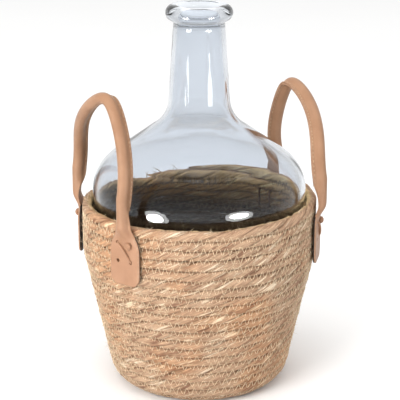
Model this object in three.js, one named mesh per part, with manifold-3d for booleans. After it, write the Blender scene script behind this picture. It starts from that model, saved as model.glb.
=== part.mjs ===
// A clear glass demijohn standing in a coiled rope basket with two laced leather handles.
// Millimetres, +Z up, origin on the ground under the bottle's axis, handles at -X and +X.
import * as THREE from "three";
import { mergeVertices } from "three/addons/utils/BufferGeometryUtils.js";
import Module from "manifold-3d";

// Fits
const GAP = 0.3; // between pieces that rest on or pass through each other
const RIM_FIT = 0.9; // bottle to rope at the basket's rim
const HEEL_ROOM = 2.2; // bottle to rope at the basket's floor
const LIFT_ROOM = 1; // bulb to handles while the bottle is lifted out

// Glass bottle, heights from its own base
const BOTTLE_HEIGHT = 348;
const BODY_RADIUS = 98.8;
const BODY_HEIGHT = 176; // of the widest ring
const BODY_TAPER = 9.5; // degrees, below the widest ring
const SHOULDER_RADIUS = 40;
const SHOULDER_SLOPE = 54.5; // degrees from upright
const NECK_FILLET = 30;
const NECK_RADIUS = 23.4; // just under the lip
const NECK_TAPER = 3.7; // degrees
const LIP_RADIUS = 7.2; // of the bead's section
const MOUTH_RADIUS = 18.5;
const MOUTH_ROUND = 3.5;
const HEEL_RADIUS = 16;
const PUNT_RADIUS = 46;
const PUNT_HEIGHT = 7;
const GLASS_WALL = 3.2;
const BOTTLE_SIDES = 36;

// Basket of one rope, coiled flat for the floor and then up the wall
const ROPE_WIDTH = 8.5; // towards the neighbouring turns
const ROPE_THICKNESS = 8.4; // through the wall
const ROPE_GAP = 0.5; // between neighbouring turns
const ROPE_START = 5.2; // centreline radius where the floor begins
const FOOT_FLAT = 0.84; // cut off the underside, so that the floor stands flat
const RIM_HEIGHT = 175.5; // at the front, from where the coil climbs on to its end
const RIM_AZIMUTH = -111; // degrees, of that front
const KNEE_HEIGHT = 128; // where the tapered wall turns upright
const KNEE_RADIUS = 60;
const CORNER_RADIUS = 20; // centreline, floor to wall
const LOOP_STEPS = 22;
const ROPE_END_AZIMUTH = 75; // degrees, at the back
const TAIL_STEPS = 5; // over which the rope's end thins out
const TAIL_SHARE = 0.4; // of the rope's width left at its very end

// Leather tabs, each side of a handle, flat on the wall and turned into line at the top
const HANDLE_SHIFT = 3; // degrees, of both handles towards the front
const TAB_ANGLE = 30; // degrees either side of the handle's middle
const TAB_WIDTH = 32;
const TAB_THICKNESS = 3;
const TAB_DROP = 54.5; // rim to the tab's lower end
const TAB_CORNER = 9;
const TAB_SHOULDER = 20; // below the rim, where the tab starts to narrow
const TAB_STANDOFF = 3.2; // how far the strap leans out over the rim
const STRAP_WIDTH = 14;

// Rolled grips, hinged where the leather bends just above the rim
const HINGE_RISE = 3.5; // above the rim
const ROLL_HEIGHT = 17; // over the hinge, where the strap is fully rolled
const LEG_HEIGHT = 4; // straight roll between there and the arch
const GRIP_RADIUS = 5.2;
const SEAM_WIDTH = 3.2; // sewn edge standing off the roll, towards the bottle
const LEAF = 1.4; // thickness of the rolled leather
const SEAM_SLIT = 0.4; // between the two sewn leaves
const LEFT_ARCH = 86; // height of the arch over its legs
const RIGHT_ARCH = 70;
const LEFT_FRONT_NARROWING = 0.35; // of the left arch's front leg, past an ellipse
const LEFT_BACK_NARROWING = 0.55;
const RIGHT_NARROWING = 0.45; // of both legs of the right arch
const LEFT_SWAY = 31; // how far the top of the loop leans towards the front tab
const RIGHT_SWAY = 30; // and towards the back tab
const ARCH_STEPS = 18;
const BORE_SIDES = 8;

// Laces, through four holes in each tab
const LACE_DROP = 23.5; // rim to the middle of the four holes
const LACE_SPAN = 14; // between the holes, across
const LACE_RISE = 17; // between the holes, up
const LACE_RADIUS = 1.3;
const LACE_BAND = 2.6; // width of the flat runs
const KNOT_RADIUS = 3.2;
const KNOT_HEIGHT = 3.8;
const KNOT_SHARE = 0.8; // of the way from the middle to its hole
const HOLE_SIDES = 6;

const wasm = await Module();
wasm.setup();

const { degToRad, lerp, smoothstep } = THREE.MathUtils;
const UP = new THREE.Vector3(0, 0, 1);
const OUT = new THREE.Vector3(1, 0, 0);

// A closed body through a row of sections, each an outline in its own frame, with flat ends.
function loft(stations) {
  const count = stations[0].section.length;
  const positions = [];
  for (const { section, frame } of stations) {
    for (const { x, y } of section) {
      positions.push(...new THREE.Vector3(x, y, 0).applyMatrix4(frame));
    }
  }
  const index = [];
  for (let row = 0; row < stations.length - 1; row += 1) {
    for (let side = 0; side < count; side += 1) {
      const a = row * count + side;
      const b = row * count + ((side + 1) % count);
      index.push(a, b, b + count, a, b + count, a + count);
    }
  }
  const last = (stations.length - 1) * count;
  for (const [a, b, c] of THREE.ShapeUtils.triangulateShape(stations[0].section, [])) {
    index.push(a, c, b);
  }
  for (const [a, b, c] of THREE.ShapeUtils.triangulateShape(stations.at(-1).section, [])) {
    index.push(last + a, last + b, last + c);
  }
  const geometry = new THREE.BufferGeometry();
  geometry.setAttribute("position", new THREE.Float32BufferAttribute(positions, 3));
  geometry.setIndex(index);
  return geometry;
}

function frameAt(position, xAxis, yAxis) {
  const zAxis = new THREE.Vector3().crossVectors(xAxis, yAxis);
  return new THREE.Matrix4().makeBasis(xAxis, yAxis, zAxis).setPosition(position);
}

function toSolid(geometry) {
  const bare = new THREE.BufferGeometry();
  bare.setAttribute("position", geometry.getAttribute("position"));
  bare.setIndex(geometry.index);
  const merged = mergeVertices(bare, 1e-4);
  const vertProperties = merged.getAttribute("position").array;
  const triVerts = new Uint32Array(merged.index.array);
  return new wasm.Manifold(new wasm.Mesh({ numProp: 3, vertProperties, triVerts }));
}

function toGeometry(solid) {
  const { vertProperties, triVerts } = solid.getMesh();
  const geometry = new THREE.BufferGeometry();
  geometry.setAttribute("position", new THREE.BufferAttribute(vertProperties, 3));
  geometry.setIndex(new THREE.BufferAttribute(triVerts, 1));
  return geometry;
}

function joined(geometries) {
  return geometries.map(toSolid).reduce((whole, piece) => whole.add(piece));
}

// Bottle outline, turned round the axis
const taper = degToRad(BODY_TAPER);
const slope = degToRad(SHOULDER_SLOPE);
const neckTaper = degToRad(NECK_TAPER);
const shoulder = new THREE.Vector2(BODY_RADIUS - SHOULDER_RADIUS, BODY_HEIGHT);
const lipBottom = BOTTLE_HEIGHT - 2 * LIP_RADIUS;

// Outer radius of the tapered body, carried on past both of its ends
function bodyRadius(height) {
  return shoulder.x + SHOULDER_RADIUS / Math.cos(taper) + (height - shoulder.y) * Math.tan(taper);
}

// Centre of the hollow curve that touches the shoulder's cone and the neck's cone
function filletCentre() {
  const cone = new THREE.Vector2(Math.cos(slope), Math.sin(slope));
  const neck = new THREE.Vector2(Math.cos(neckTaper), Math.sin(neckTaper));
  const toCone = shoulder.dot(cone) + SHOULDER_RADIUS + NECK_FILLET;
  const toNeck = neck.dot(new THREE.Vector2(NECK_RADIUS, lipBottom)) + NECK_FILLET;
  const cross = cone.cross(neck);
  return new THREE.Vector2(
    (toCone * neck.y - toNeck * cone.y) / cross,
    (toNeck * cone.x - toCone * neck.x) / cross,
  );
}

function bottleGeometry() {
  const quarter = Math.PI / 2;
  const heelX = bodyRadius(HEEL_RADIUS) - HEEL_RADIUS / Math.cos(taper);
  const fillet = filletCentre();
  const puntBend = PUNT_RADIUS / 2;
  const outline = new THREE.Path();
  outline.moveTo(0, PUNT_HEIGHT);
  outline.quadraticCurveTo(puntBend, PUNT_HEIGHT, PUNT_RADIUS, 0);
  outline.absarc(heelX, HEEL_RADIUS, HEEL_RADIUS, -quarter, -taper, false);
  outline.absarc(shoulder.x, shoulder.y, SHOULDER_RADIUS, -taper, slope, false);
  outline.absarc(fillet.x, fillet.y, NECK_FILLET, Math.PI + slope, Math.PI + neckTaper, true);
  outline.lineTo(NECK_RADIUS, lipBottom);
  outline.absarc(NECK_RADIUS, lipBottom + LIP_RADIUS, LIP_RADIUS, -quarter, quarter, false);
  outline.absarc(
    MOUTH_RADIUS + MOUTH_ROUND, BOTTLE_HEIGHT - MOUTH_ROUND, MOUTH_ROUND, quarter, Math.PI, false,
  );
  outline.lineTo(MOUTH_RADIUS, lipBottom);
  outline.absarc(
    fillet.x, fillet.y, NECK_FILLET + GLASS_WALL, Math.PI + neckTaper, Math.PI + slope, false,
  );
  outline.absarc(shoulder.x, shoulder.y, SHOULDER_RADIUS - GLASS_WALL, slope, -taper, true);
  outline.absarc(heelX, HEEL_RADIUS, HEEL_RADIUS - GLASS_WALL, -taper, -quarter, true);
  outline.lineTo(PUNT_RADIUS, GLASS_WALL);
  outline.quadraticCurveTo(puntBend, PUNT_HEIGHT + GLASS_WALL, 0, PUNT_HEIGHT + GLASS_WALL);
  return new THREE.LatheGeometry(outline.getPoints(2), BOTTLE_SIDES).rotateX(quarter);
}

// Rope line, in radius and height: floor, corner, tapered wall, knee and upright band
const floorTop = ROPE_THICKNESS - FOOT_FLAT;
const bottleBase = floorTop + GAP;
const halfStep = Math.PI / LOOP_STEPS;
const facetScale = 2 / (1 + Math.cos(halfStep)); // keeps the faceted turns' mean radius true
const innerShare = facetScale * Math.cos(halfStep);
const pitch = ROPE_WIDTH + ROPE_GAP;
const rimEnd = RIM_HEIGHT + ((ROPE_END_AZIMUTH - RIM_AZIMUTH) / 360) * pitch;
const rimInside = bodyRadius(rimEnd - bottleBase) + RIM_FIT;
const bandRadius = rimInside / innerShare + ROPE_THICKNESS / 2;
const wallInside = (bandRadius - ROPE_THICKNESS / 2) * innerShare;
const wallOutside = (bandRadius + ROPE_THICKNESS / 2) * facetScale;

function ropeLine() {
  const centre = ROPE_THICKNESS / 2 - FOOT_FLAT;
  const foot = (bodyRadius(0) + HEEL_ROOM) / innerShare + ROPE_THICKNESS / 2;
  const lean = Math.atan2(bandRadius - foot, KNEE_HEIGHT - centre);
  const cornerX = foot - CORNER_RADIUS * Math.tan((Math.PI / 2 - lean) / 2);
  const kneeZ = KNEE_HEIGHT + KNEE_RADIUS * Math.tan(lean / 2);
  const line = new THREE.Path();
  line.moveTo(ROPE_START, centre);
  line.lineTo(cornerX, centre);
  line.absarc(cornerX, centre + CORNER_RADIUS, CORNER_RADIUS, -Math.PI / 2, -lean, false);
  line.absarc(bandRadius - KNEE_RADIUS, kneeZ, KNEE_RADIUS, -lean, 0, false);
  line.lineTo(bandRadius, rimEnd - ROPE_WIDTH / 2);
  return line;
}

const rope = ropeLine();
const ropeSteps = Math.floor((rope.getLength() / pitch) * LOOP_STEPS);
const floorSteps = Math.round((rope.curves[0].getLength() / pitch) * LOOP_STEPS);

// Six-sided section, flat on the floor and on both faces of the wall
function ropeSection(share) {
  const half = (ROPE_WIDTH / 2) * share;
  const face = ROPE_THICKNESS / 2;
  const drop = half - ROPE_WIDTH / 2;
  return [
    [half, 0], [half / 2, face], [-half / 2, face],
    [-half, 0], [-half / 2, -face], [half / 2, -face],
  ].map(([along, across]) => new THREE.Vector2(along + drop, across));
}

function ropeStation(step) {
  const share = step / LOOP_STEPS / (rope.getLength() / pitch);
  const place = rope.getPoint(share);
  const heading = rope.getTangent(share);
  const turn = ((step - ropeSteps) / LOOP_STEPS) * 2 * Math.PI + degToRad(ROPE_END_AZIMUTH);
  const along = new THREE.Vector3(heading.x, 0, heading.y).applyAxisAngle(UP, turn);
  const across = new THREE.Vector3(heading.y, 0, -heading.x).applyAxisAngle(UP, turn);
  const centre = new THREE.Vector3(place.x, 0, place.y).applyAxisAngle(UP, turn);
  const frame = frameAt(centre, along, across);
  frame.premultiply(new THREE.Matrix4().makeScale(facetScale, facetScale, 1));
  const tail = smoothstep(step, ropeSteps - TAIL_STEPS, ropeSteps);
  return { section: ropeSection(lerp(1, TAIL_SHARE, tail)), frame };
}

// Least distance between points of the rope that lie half a turn or more apart
function leastGap(stations) {
  const rings = stations.map(({ section, frame }) =>
    section.map(({ x, y }) => new THREE.Vector3(x, y, 0).applyMatrix4(frame)),
  );
  let least = Infinity;
  for (let i = 0; i < rings.length; i += 1) {
    for (let j = i + LOOP_STEPS / 2; j < rings.length; j += 1) {
      for (const p of rings[i]) {
        for (const q of rings[j]) least = Math.min(least, p.distanceTo(q));
      }
    }
  }
  return least;
}

function ropeCoil(name, from, to) {
  const stations = [ropeStation(from)];
  for (let step = Math.floor(from) + 1; step < to; step += 1) stations.push(ropeStation(step));
  stations.push(ropeStation(to));
  console.log(`${name}: least gap between turns ${leastGap(stations).toFixed(2)} mm`);
  const ground = new THREE.BoxGeometry(4 * wallOutside, 4 * wallOutside, ROPE_THICKNESS);
  ground.translate(0, 0, -ROPE_THICKNESS / 2);
  return toSolid(loft(stations)).subtract(toSolid(ground));
}

// Tabs, with X out through the wall, Y along it and Z up
const hingeZ = RIM_HEIGHT + HINGE_RISE;
const tabBack = wallOutside + GAP;
const tabMiddle = tabBack + TAB_THICKNESS / 2;
const tabFace = tabBack + TAB_THICKNESS;
const tabBottom = RIM_HEIGHT - TAB_DROP;
const tabTop = hingeZ - TAB_THICKNESS / 2 - GAP;
const tabTurn = degToRad(TAB_ANGLE);
const laceZ = RIM_HEIGHT - LACE_DROP;
const laceFront = tabFace + GAP;
const laceEdge = (LACE_SPAN + LACE_BAND) / 2;
const laceBack = Math.sqrt((wallInside - GAP) ** 2 - laceEdge ** 2);

function tabStation(z, lineUp) {
  const corner = 1 - Math.min(1, (z - tabBottom) / TAB_CORNER);
  const rounding = TAB_CORNER * (1 - Math.sqrt(1 - corner * corner));
  const narrowing = smoothstep(z, RIM_HEIGHT - TAB_SHOULDER, RIM_HEIGHT);
  const halfWidth = lerp(TAB_WIDTH, STRAP_WIDTH, narrowing) / 2 - rounding;
  const halfThick = TAB_THICKNESS / 2;
  const section = [
    [-halfThick, -halfWidth], [halfThick, -halfWidth],
    [halfThick, halfWidth], [-halfThick, halfWidth],
  ].map(([x, y]) => new THREE.Vector2(x, y));
  const twist = lineUp * smoothstep(z, RIM_HEIGHT - TAB_SHOULDER / 2, tabTop);
  const xAxis = new THREE.Vector3(1, 0, 0).applyAxisAngle(UP, twist);
  const yAxis = new THREE.Vector3(0, 1, 0).applyAxisAngle(UP, twist);
  const leanOut = TAB_STANDOFF * smoothstep(z, laceZ + LACE_RISE / 2 + LACE_BAND, RIM_HEIGHT);
  return { section, frame: frameAt(new THREE.Vector3(tabMiddle + leanOut, 0, z), xAxis, yAxis) };
}

function tabGeometry(lineUp) {
  const stations = [0.02, 0.15, 0.45, 1].map((part) => tabBottom + part * TAB_CORNER);
  const shoulderZ = RIM_HEIGHT - TAB_SHOULDER;
  for (const part of [0, 0.25, 0.5, 0.75, 1]) stations.push(lerp(shoulderZ, RIM_HEIGHT, part));
  stations.push(tabTop);
  const plate = loft(stations.map((z) => tabStation(z, lineUp)));
  return toGeometry(toSolid(plate).subtract(laceHoles()));
}

// Four pegs along X, one through each hole
function pegs(radius, from, to) {
  const pieces = [];
  for (const y of [-LACE_SPAN / 2, LACE_SPAN / 2]) {
    for (const z of [laceZ - LACE_RISE / 2, laceZ + LACE_RISE / 2]) {
      const peg = new THREE.CylinderGeometry(radius, radius, to - from, HOLE_SIDES);
      pieces.push(peg.rotateZ(Math.PI / 2).translate((from + to) / 2, y, z));
    }
  }
  return pieces;
}

function laceHoles() {
  const radius = (LACE_RADIUS + GAP) / Math.cos(Math.PI / HOLE_SIDES);
  return joined(pegs(radius, laceBack - LACE_BAND, laceFront + LACE_BAND));
}

// One lace: a slanting run outside, two upright runs inside, and the knot that ties it
function laceGeometry() {
  const thick = LACE_RADIUS;
  const runLength = Math.hypot(LACE_SPAN, LACE_RISE) + LACE_BAND;
  const runTilt = Math.atan2(LACE_SPAN, LACE_RISE);
  const pieces = pegs(LACE_RADIUS, laceBack - thick, laceFront + thick);
  const slanting = new THREE.BoxGeometry(thick, LACE_BAND, runLength).rotateX(runTilt);
  pieces.push(slanting.translate(laceFront + thick / 2, 0, laceZ));
  for (const y of [-LACE_SPAN / 2, LACE_SPAN / 2]) {
    const run = new THREE.BoxGeometry(thick, LACE_BAND, LACE_RISE + LACE_BAND);
    pieces.push(run.translate(laceBack - thick / 2, y, laceZ));
  }
  const knot = new THREE.IcosahedronGeometry(1, 1);
  knot.scale(KNOT_HEIGHT / 2, KNOT_RADIUS, KNOT_RADIUS);
  const knotY = (KNOT_SHARE * LACE_SPAN) / 2;
  const knotZ = laceZ + (KNOT_SHARE * LACE_RISE) / 2;
  pieces.push(knot.translate(laceFront + KNOT_HEIGHT / 2, knotY, knotZ));
  return toGeometry(joined(pieces));
}

// Grips, on a line that follows the basket's round so that the bulb can pass
const hingeReach = tabMiddle + TAB_STANDOFF;
const hingeX = hingeReach * Math.cos(tabTurn);
const halfLoop = hingeReach * Math.sin(tabTurn);
const archFoot = ROLL_HEIGHT + LEG_HEIGHT;
const gripReach = BODY_RADIUS + LIFT_ROOM + GRIP_RADIUS + SEAM_WIDTH;
const boreRadius = GRIP_RADIUS - LEAF;
const coreRadius = boreRadius * Math.cos(Math.PI / BORE_SIDES) - GAP;

function arc(radius, from, to, steps) {
  const points = [];
  for (let step = 0; step <= steps; step += 1) {
    const angle = lerp(from, to, step / steps);
    points.push(new THREE.Vector2(radius * Math.cos(angle), radius * Math.sin(angle)));
  }
  return points;
}

// Rolled leather: a tube whose two edges meet in a sewn seam on the -X side
function rollSection() {
  const edge = -GRIP_RADIUS - SEAM_WIDTH;
  const slit = SEAM_SLIT / 2;
  const seam = slit + LEAF;
  const outer = Math.PI - Math.asin(seam / GRIP_RADIUS);
  const inner = Math.PI - Math.asin(slit / boreRadius);
  return [
    ...arc(GRIP_RADIUS, -outer, outer, 10),
    new THREE.Vector2(edge, seam),
    new THREE.Vector2(edge, slit),
    ...arc(boreRadius, inner, -inner, BORE_SIDES),
    new THREE.Vector2(edge, -slit),
    new THREE.Vector2(edge, -seam),
  ];
}

// Arch from leg to leg, drawn in towards the bulb as it rises
class ArchLine extends THREE.Curve {
  constructor({ height, sway, narrowing }) {
    super();
    this.height = height;
    this.sway = sway;
    this.narrowing = narrowing;
  }

  getPoint(share) {
    const rise = Math.sin(share * Math.PI);
    const run = Math.cos(share * Math.PI);
    const [ahead, behind] = this.narrowing;
    const narrow = 1 - lerp(behind, ahead, (1 + run) / 2) * rise * rise;
    const y = halfLoop * run * narrow + this.sway * rise * rise;
    const reach = lerp(gripReach, hingeReach, (1 - rise) ** 2);
    return legPoint(y, archFoot + this.height * rise).setX(Math.sqrt(reach * reach - y * y));
  }
}

function legPoint(y, height) {
  return new THREE.Vector3(hingeX, y, hingeZ + height);
}

// Frame across the loop's line, with its X axis away from the bottle
function gripFrame(place, ahead) {
  const yAxis = new THREE.Vector3().crossVectors(ahead, OUT).normalize();
  return frameAt(place, new THREE.Vector3().crossVectors(yAxis, ahead), yAxis);
}

function loopFrames(startHeight, arch) {
  const frames = [gripFrame(legPoint(halfLoop, startHeight), UP)];
  for (let step = 0; step <= ARCH_STEPS; step += 1) {
    const share = step / ARCH_STEPS;
    frames.push(gripFrame(arch.getPoint(share), arch.getTangent(share)));
  }
  frames.push(gripFrame(legPoint(-halfLoop, startHeight), UP.clone().negate()));
  return frames;
}

// Rounded block section, from nearly square to round
function blockSection(halfThick, halfWidth, roundness) {
  return arc(1, 0, 2 * Math.PI, 12).slice(0, 12).map(({ x, y }) => new THREE.Vector2(
    halfThick * Math.sign(x) * Math.abs(x) ** roundness,
    halfWidth * Math.sign(y) * Math.abs(y) ** roundness,
  ));
}

// Foot of a grip: a flat strap, rounded about the hinge line, that swells into the roll
function gripFoot(y) {
  const half = TAB_THICKNESS / 2;
  const flat = STRAP_WIDTH / 2;
  const full = GRIP_RADIUS - LEAF / 2;
  const stations = [80, 45, 0].map((degrees) => ({
    height: -half * Math.sin(degToRad(degrees)),
    section: blockSection(half * Math.cos(degToRad(degrees)), flat, 0.3),
  }));
  for (const part of [0.2, 0.4, 0.6, 0.8, 1]) {
    const swell = smoothstep(part, 0.2, 1);
    stations.push({
      height: part * (ROLL_HEIGHT + GRIP_RADIUS / 2),
      section: blockSection(lerp(half, full, swell), lerp(flat, full, swell), lerp(0.3, 1, swell)),
    });
  }
  return loft(stations.map(({ height, section }) => ({
    section, frame: gripFrame(legPoint(y, height), UP),
  })));
}

function gripGeometry(arch) {
  const section = rollSection();
  const roll = loft(loopFrames(ROLL_HEIGHT, arch).map((frame) => ({ section, frame })));
  return toGeometry(joined([roll, gripFoot(halfLoop), gripFoot(-halfLoop)]));
}

function coreGeometry(arch) {
  const section = arc(coreRadius, 0, 2 * Math.PI, BORE_SIDES).slice(0, BORE_SIDES);
  const start = ROLL_HEIGHT + GRIP_RADIUS / 2 + GAP;
  return loft(loopFrames(start, arch).map((frame) => ({ section, frame })));
}

// Assembly
const GLASS = { color: 0xd3dde0, roughness: 0.05, metalness: 0 };
const RUSH = { color: 0xc6a278, roughness: 0.85, metalness: 0 };
const LEATHER = { color: 0xd3a27c, roughness: 0.5, metalness: 0 };
const CORD = { color: 0xe6dcc8, roughness: 0.9, metalness: 0 };
const LACING = { color: 0xc08e64, roughness: 0.6, metalness: 0 };

function piece(name, geometry, finish) {
  const mesh = new THREE.Mesh(geometry, new THREE.MeshStandardMaterial(finish));
  mesh.name = name;
  return mesh;
}

const demijohn = new THREE.Group();
const bottle = piece("glass_bottle", bottleGeometry(), GLASS);
bottle.position.z = bottleBase;
demijohn.add(bottle);

const buttGap = (GAP / (2 * Math.PI * rope.curves[0].v2.x)) * LOOP_STEPS;
const floorCoil = ropeCoil("basket_base_coil", 0, floorSteps);
let wallCoil = ropeCoil("basket_wall_coil", floorSteps + buttGap, ropeSteps);

const shift = degToRad(HANDLE_SHIFT);
const handles = [
  {
    side: "right",
    turn: -shift,
    arch: new ArchLine({ height: RIGHT_ARCH, sway: RIGHT_SWAY, narrowing: [RIGHT_NARROWING, RIGHT_NARROWING] }),
    tabs: [["back", 1], ["front", -1]],
  },
  {
    side: "left",
    turn: Math.PI + shift,
    arch: new ArchLine({
      height: LEFT_ARCH,
      sway: LEFT_SWAY,
      narrowing: [LEFT_FRONT_NARROWING, LEFT_BACK_NARROWING],
    }),
    tabs: [["front", 1], ["back", -1]],
  },
];
for (const { side, turn, arch, tabs } of handles) {
  const handle = new THREE.Group();
  handle.rotation.z = turn;
  handle.add(piece(`${side}_handle_grip`, gripGeometry(arch), LEATHER));
  handle.add(piece(`${side}_handle_core`, coreGeometry(arch), CORD));
  for (const [end, way] of tabs) {
    const seat = new THREE.Group();
    seat.rotation.z = way * tabTurn;
    seat.add(piece(`${side}_${end}_tab`, tabGeometry(-way * tabTurn), LEATHER));
    seat.add(piece(`${side}_${end}_lace`, laceGeometry(), LACING));
    handle.add(seat);
    const holes = toGeometry(laceHoles()).rotateZ(turn + way * tabTurn);
    wallCoil = wallCoil.subtract(toSolid(holes));
  }
  demijohn.add(handle);
}

demijohn.add(piece("basket_base_coil", toGeometry(floorCoil), RUSH));
demijohn.add(piece("basket_wall_coil", toGeometry(wallCoil), RUSH));

export default demijohn;
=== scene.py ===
"""A clear glass demijohn in a coiled rush basket with two laced leather handles."""

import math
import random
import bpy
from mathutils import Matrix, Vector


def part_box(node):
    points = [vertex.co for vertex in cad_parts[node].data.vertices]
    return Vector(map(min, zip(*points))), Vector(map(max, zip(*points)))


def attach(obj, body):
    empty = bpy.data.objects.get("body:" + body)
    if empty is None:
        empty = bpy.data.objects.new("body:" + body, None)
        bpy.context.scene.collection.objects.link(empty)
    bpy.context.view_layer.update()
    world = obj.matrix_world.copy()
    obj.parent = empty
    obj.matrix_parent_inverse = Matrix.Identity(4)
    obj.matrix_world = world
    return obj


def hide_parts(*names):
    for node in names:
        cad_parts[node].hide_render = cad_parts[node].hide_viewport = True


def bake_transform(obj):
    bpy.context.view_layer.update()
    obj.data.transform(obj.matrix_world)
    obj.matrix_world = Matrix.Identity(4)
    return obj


bl_info = {
    "name": "Demijohn in a rush basket",
    "version": (1, 0, 0),
    "blender": (4, 5, 0),
    "location": "View3D > Sidebar > Demijohn",
    "description": "Builds the glass, the twisted rush rope, its sewing, the leather handles and their laces",
    "category": "Object",
}

import bmesh
import bpy
import numpy as np
from bpy.props import FloatProperty, FloatVectorProperty, IntProperty, PointerProperty
from mathutils import Matrix, Vector, noise

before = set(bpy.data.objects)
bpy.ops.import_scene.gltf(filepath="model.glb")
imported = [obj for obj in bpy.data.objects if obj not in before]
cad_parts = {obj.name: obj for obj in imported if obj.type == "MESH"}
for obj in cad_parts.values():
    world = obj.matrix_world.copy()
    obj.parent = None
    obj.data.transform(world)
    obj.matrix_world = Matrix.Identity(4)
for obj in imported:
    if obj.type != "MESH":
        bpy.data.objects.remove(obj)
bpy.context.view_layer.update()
BOTTLE_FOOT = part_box("glass_bottle")[0].z
UP = Vector((0, 0, 1))
ENDS = {"left": (("front", 1), ("back", -1)), "right": (("back", 1), ("front", -1))}
HANDLE_SHIFT = math.radians(3)
TURNS = {"left": math.pi + HANDLE_SHIFT, "right": -HANDLE_SHIFT}
HOLE_SPACING = 0.0032  # between the needle holes in a seam of the basket
WALL_INSIDE = 0.1005  # radius inside which a lace lies in the basket
MM = 0.001


# Sizes and colours that a user would change

def length(name, default, description):
    return FloatProperty(
        name=name, description=description, default=default, unit="LENGTH", subtype="DISTANCE", precision=5
    )


def angle(name, degrees, description):
    return FloatProperty(
        name=name, description=description, default=math.radians(degrees), unit="ROTATION", subtype="ANGLE"
    )


def ratio(name, default, description):
    return FloatProperty(name=name, description=description, default=default, soft_min=-1, soft_max=2)


def colour(name, default, description):
    return FloatVectorProperty(
        name=name, description=description, default=default, size=3, subtype="COLOR", min=0, max=1
    )


class BottleSizes(bpy.types.PropertyGroup):
    """Sizes of the blown bottle, with heights from its own base"""

    foot: length("Foot", BOTTLE_FOOT, "Height of the bottle's base over the ground")
    height: length("Height", 0.348, "Base to the top of the lip")
    body_radius: length("Body radius", 0.0988, "Outside, at the widest ring")
    body_height: length("Body height", 0.176, "Height of the widest ring")
    body_taper: angle("Body taper", 9.5, "Lean of the body under the widest ring")
    shoulder_radius: length("Shoulder radius", 0.040, "Round of the shoulder")
    shoulder_slope: angle("Shoulder slope", 54.5, "Lean of the shoulder from upright")
    neck_fillet: length("Neck fillet", 0.030, "Hollow curve from shoulder to neck")
    neck_radius: length("Neck radius", 0.0234, "Outside, just under the lip")
    neck_taper: angle("Neck taper", 3.7, "Lean of the neck")
    lip_radius: length("Lip radius", 0.0072, "Round of the lip's bead")
    mouth_radius: length("Mouth radius", 0.0185, "Inside of the mouth")
    mouth_round: length("Mouth round", 0.0035, "Round of the mouth's edge")
    heel_radius: length("Heel radius", 0.016, "Round of the heel")
    punt_radius: length("Punt radius", 0.046, "Reach of the hollow under the base")
    punt_height: length("Punt height", 0.007, "Rise of the hollow under the base")
    wall: length("Wall", 0.0032, "Thickness of the glass")
    wave: length("Wave", 0.0006, "Unevenness of the blown inside")
    sides: IntProperty(name="Sides", description="Steps round the bottle", default=144, min=24, max=256)


class BasketSizes(bpy.types.PropertyGroup):
    """Sizes of the coiled rope and its sewing"""

    pitch: length("Pitch", 0.009, "From one turn of the rope to the next")
    thickness: length("Thickness", 0.0084, "Of the rope, through the wall")
    rope_height: length("Rope height", 0.00336, "Of the rope's middle in the floor")
    start: length("Start", 0.0052, "Radius where the rope begins")
    floor_radius: length("Floor radius", 0.06063, "Where the flat floor ends")
    corner_radius: length("Corner radius", 0.020, "Curve from the floor to the wall")
    wall_foot: length("Wall foot", 0.07667, "Radius where the wall's line meets the floor's")
    band_radius: length("Band radius", 0.10435, "Of the upright band at the top")
    knee_height: length("Knee height", 0.128, "Where the leaning wall turns upright")
    knee_radius: length("Knee radius", 0.060, "Curve from the leaning wall to the band")
    rim_height: length("Rim height", 0.1759, "Of the rope's middle where it ends")
    end_azimuth: angle("End azimuth", 75, "Where the rope ends, round the axis")
    lay: length("Lay", 0.060, "Length of one twist of the two strands")
    run_out: length("Run out", 0.09, "Length over which the rope's end grows thin at the rim")
    strand_step: length("Strand step", 0.0031, "Between the rings along a strand")
    thread_radius: length("Thread radius", 0.00032, "Of the sewing thread")
    stitch: length("Stitch", 0.0064, "Length of one zigzag")
    reach: length("Reach", 0.0042, "Of the zigzag to each side of its seam")


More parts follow.
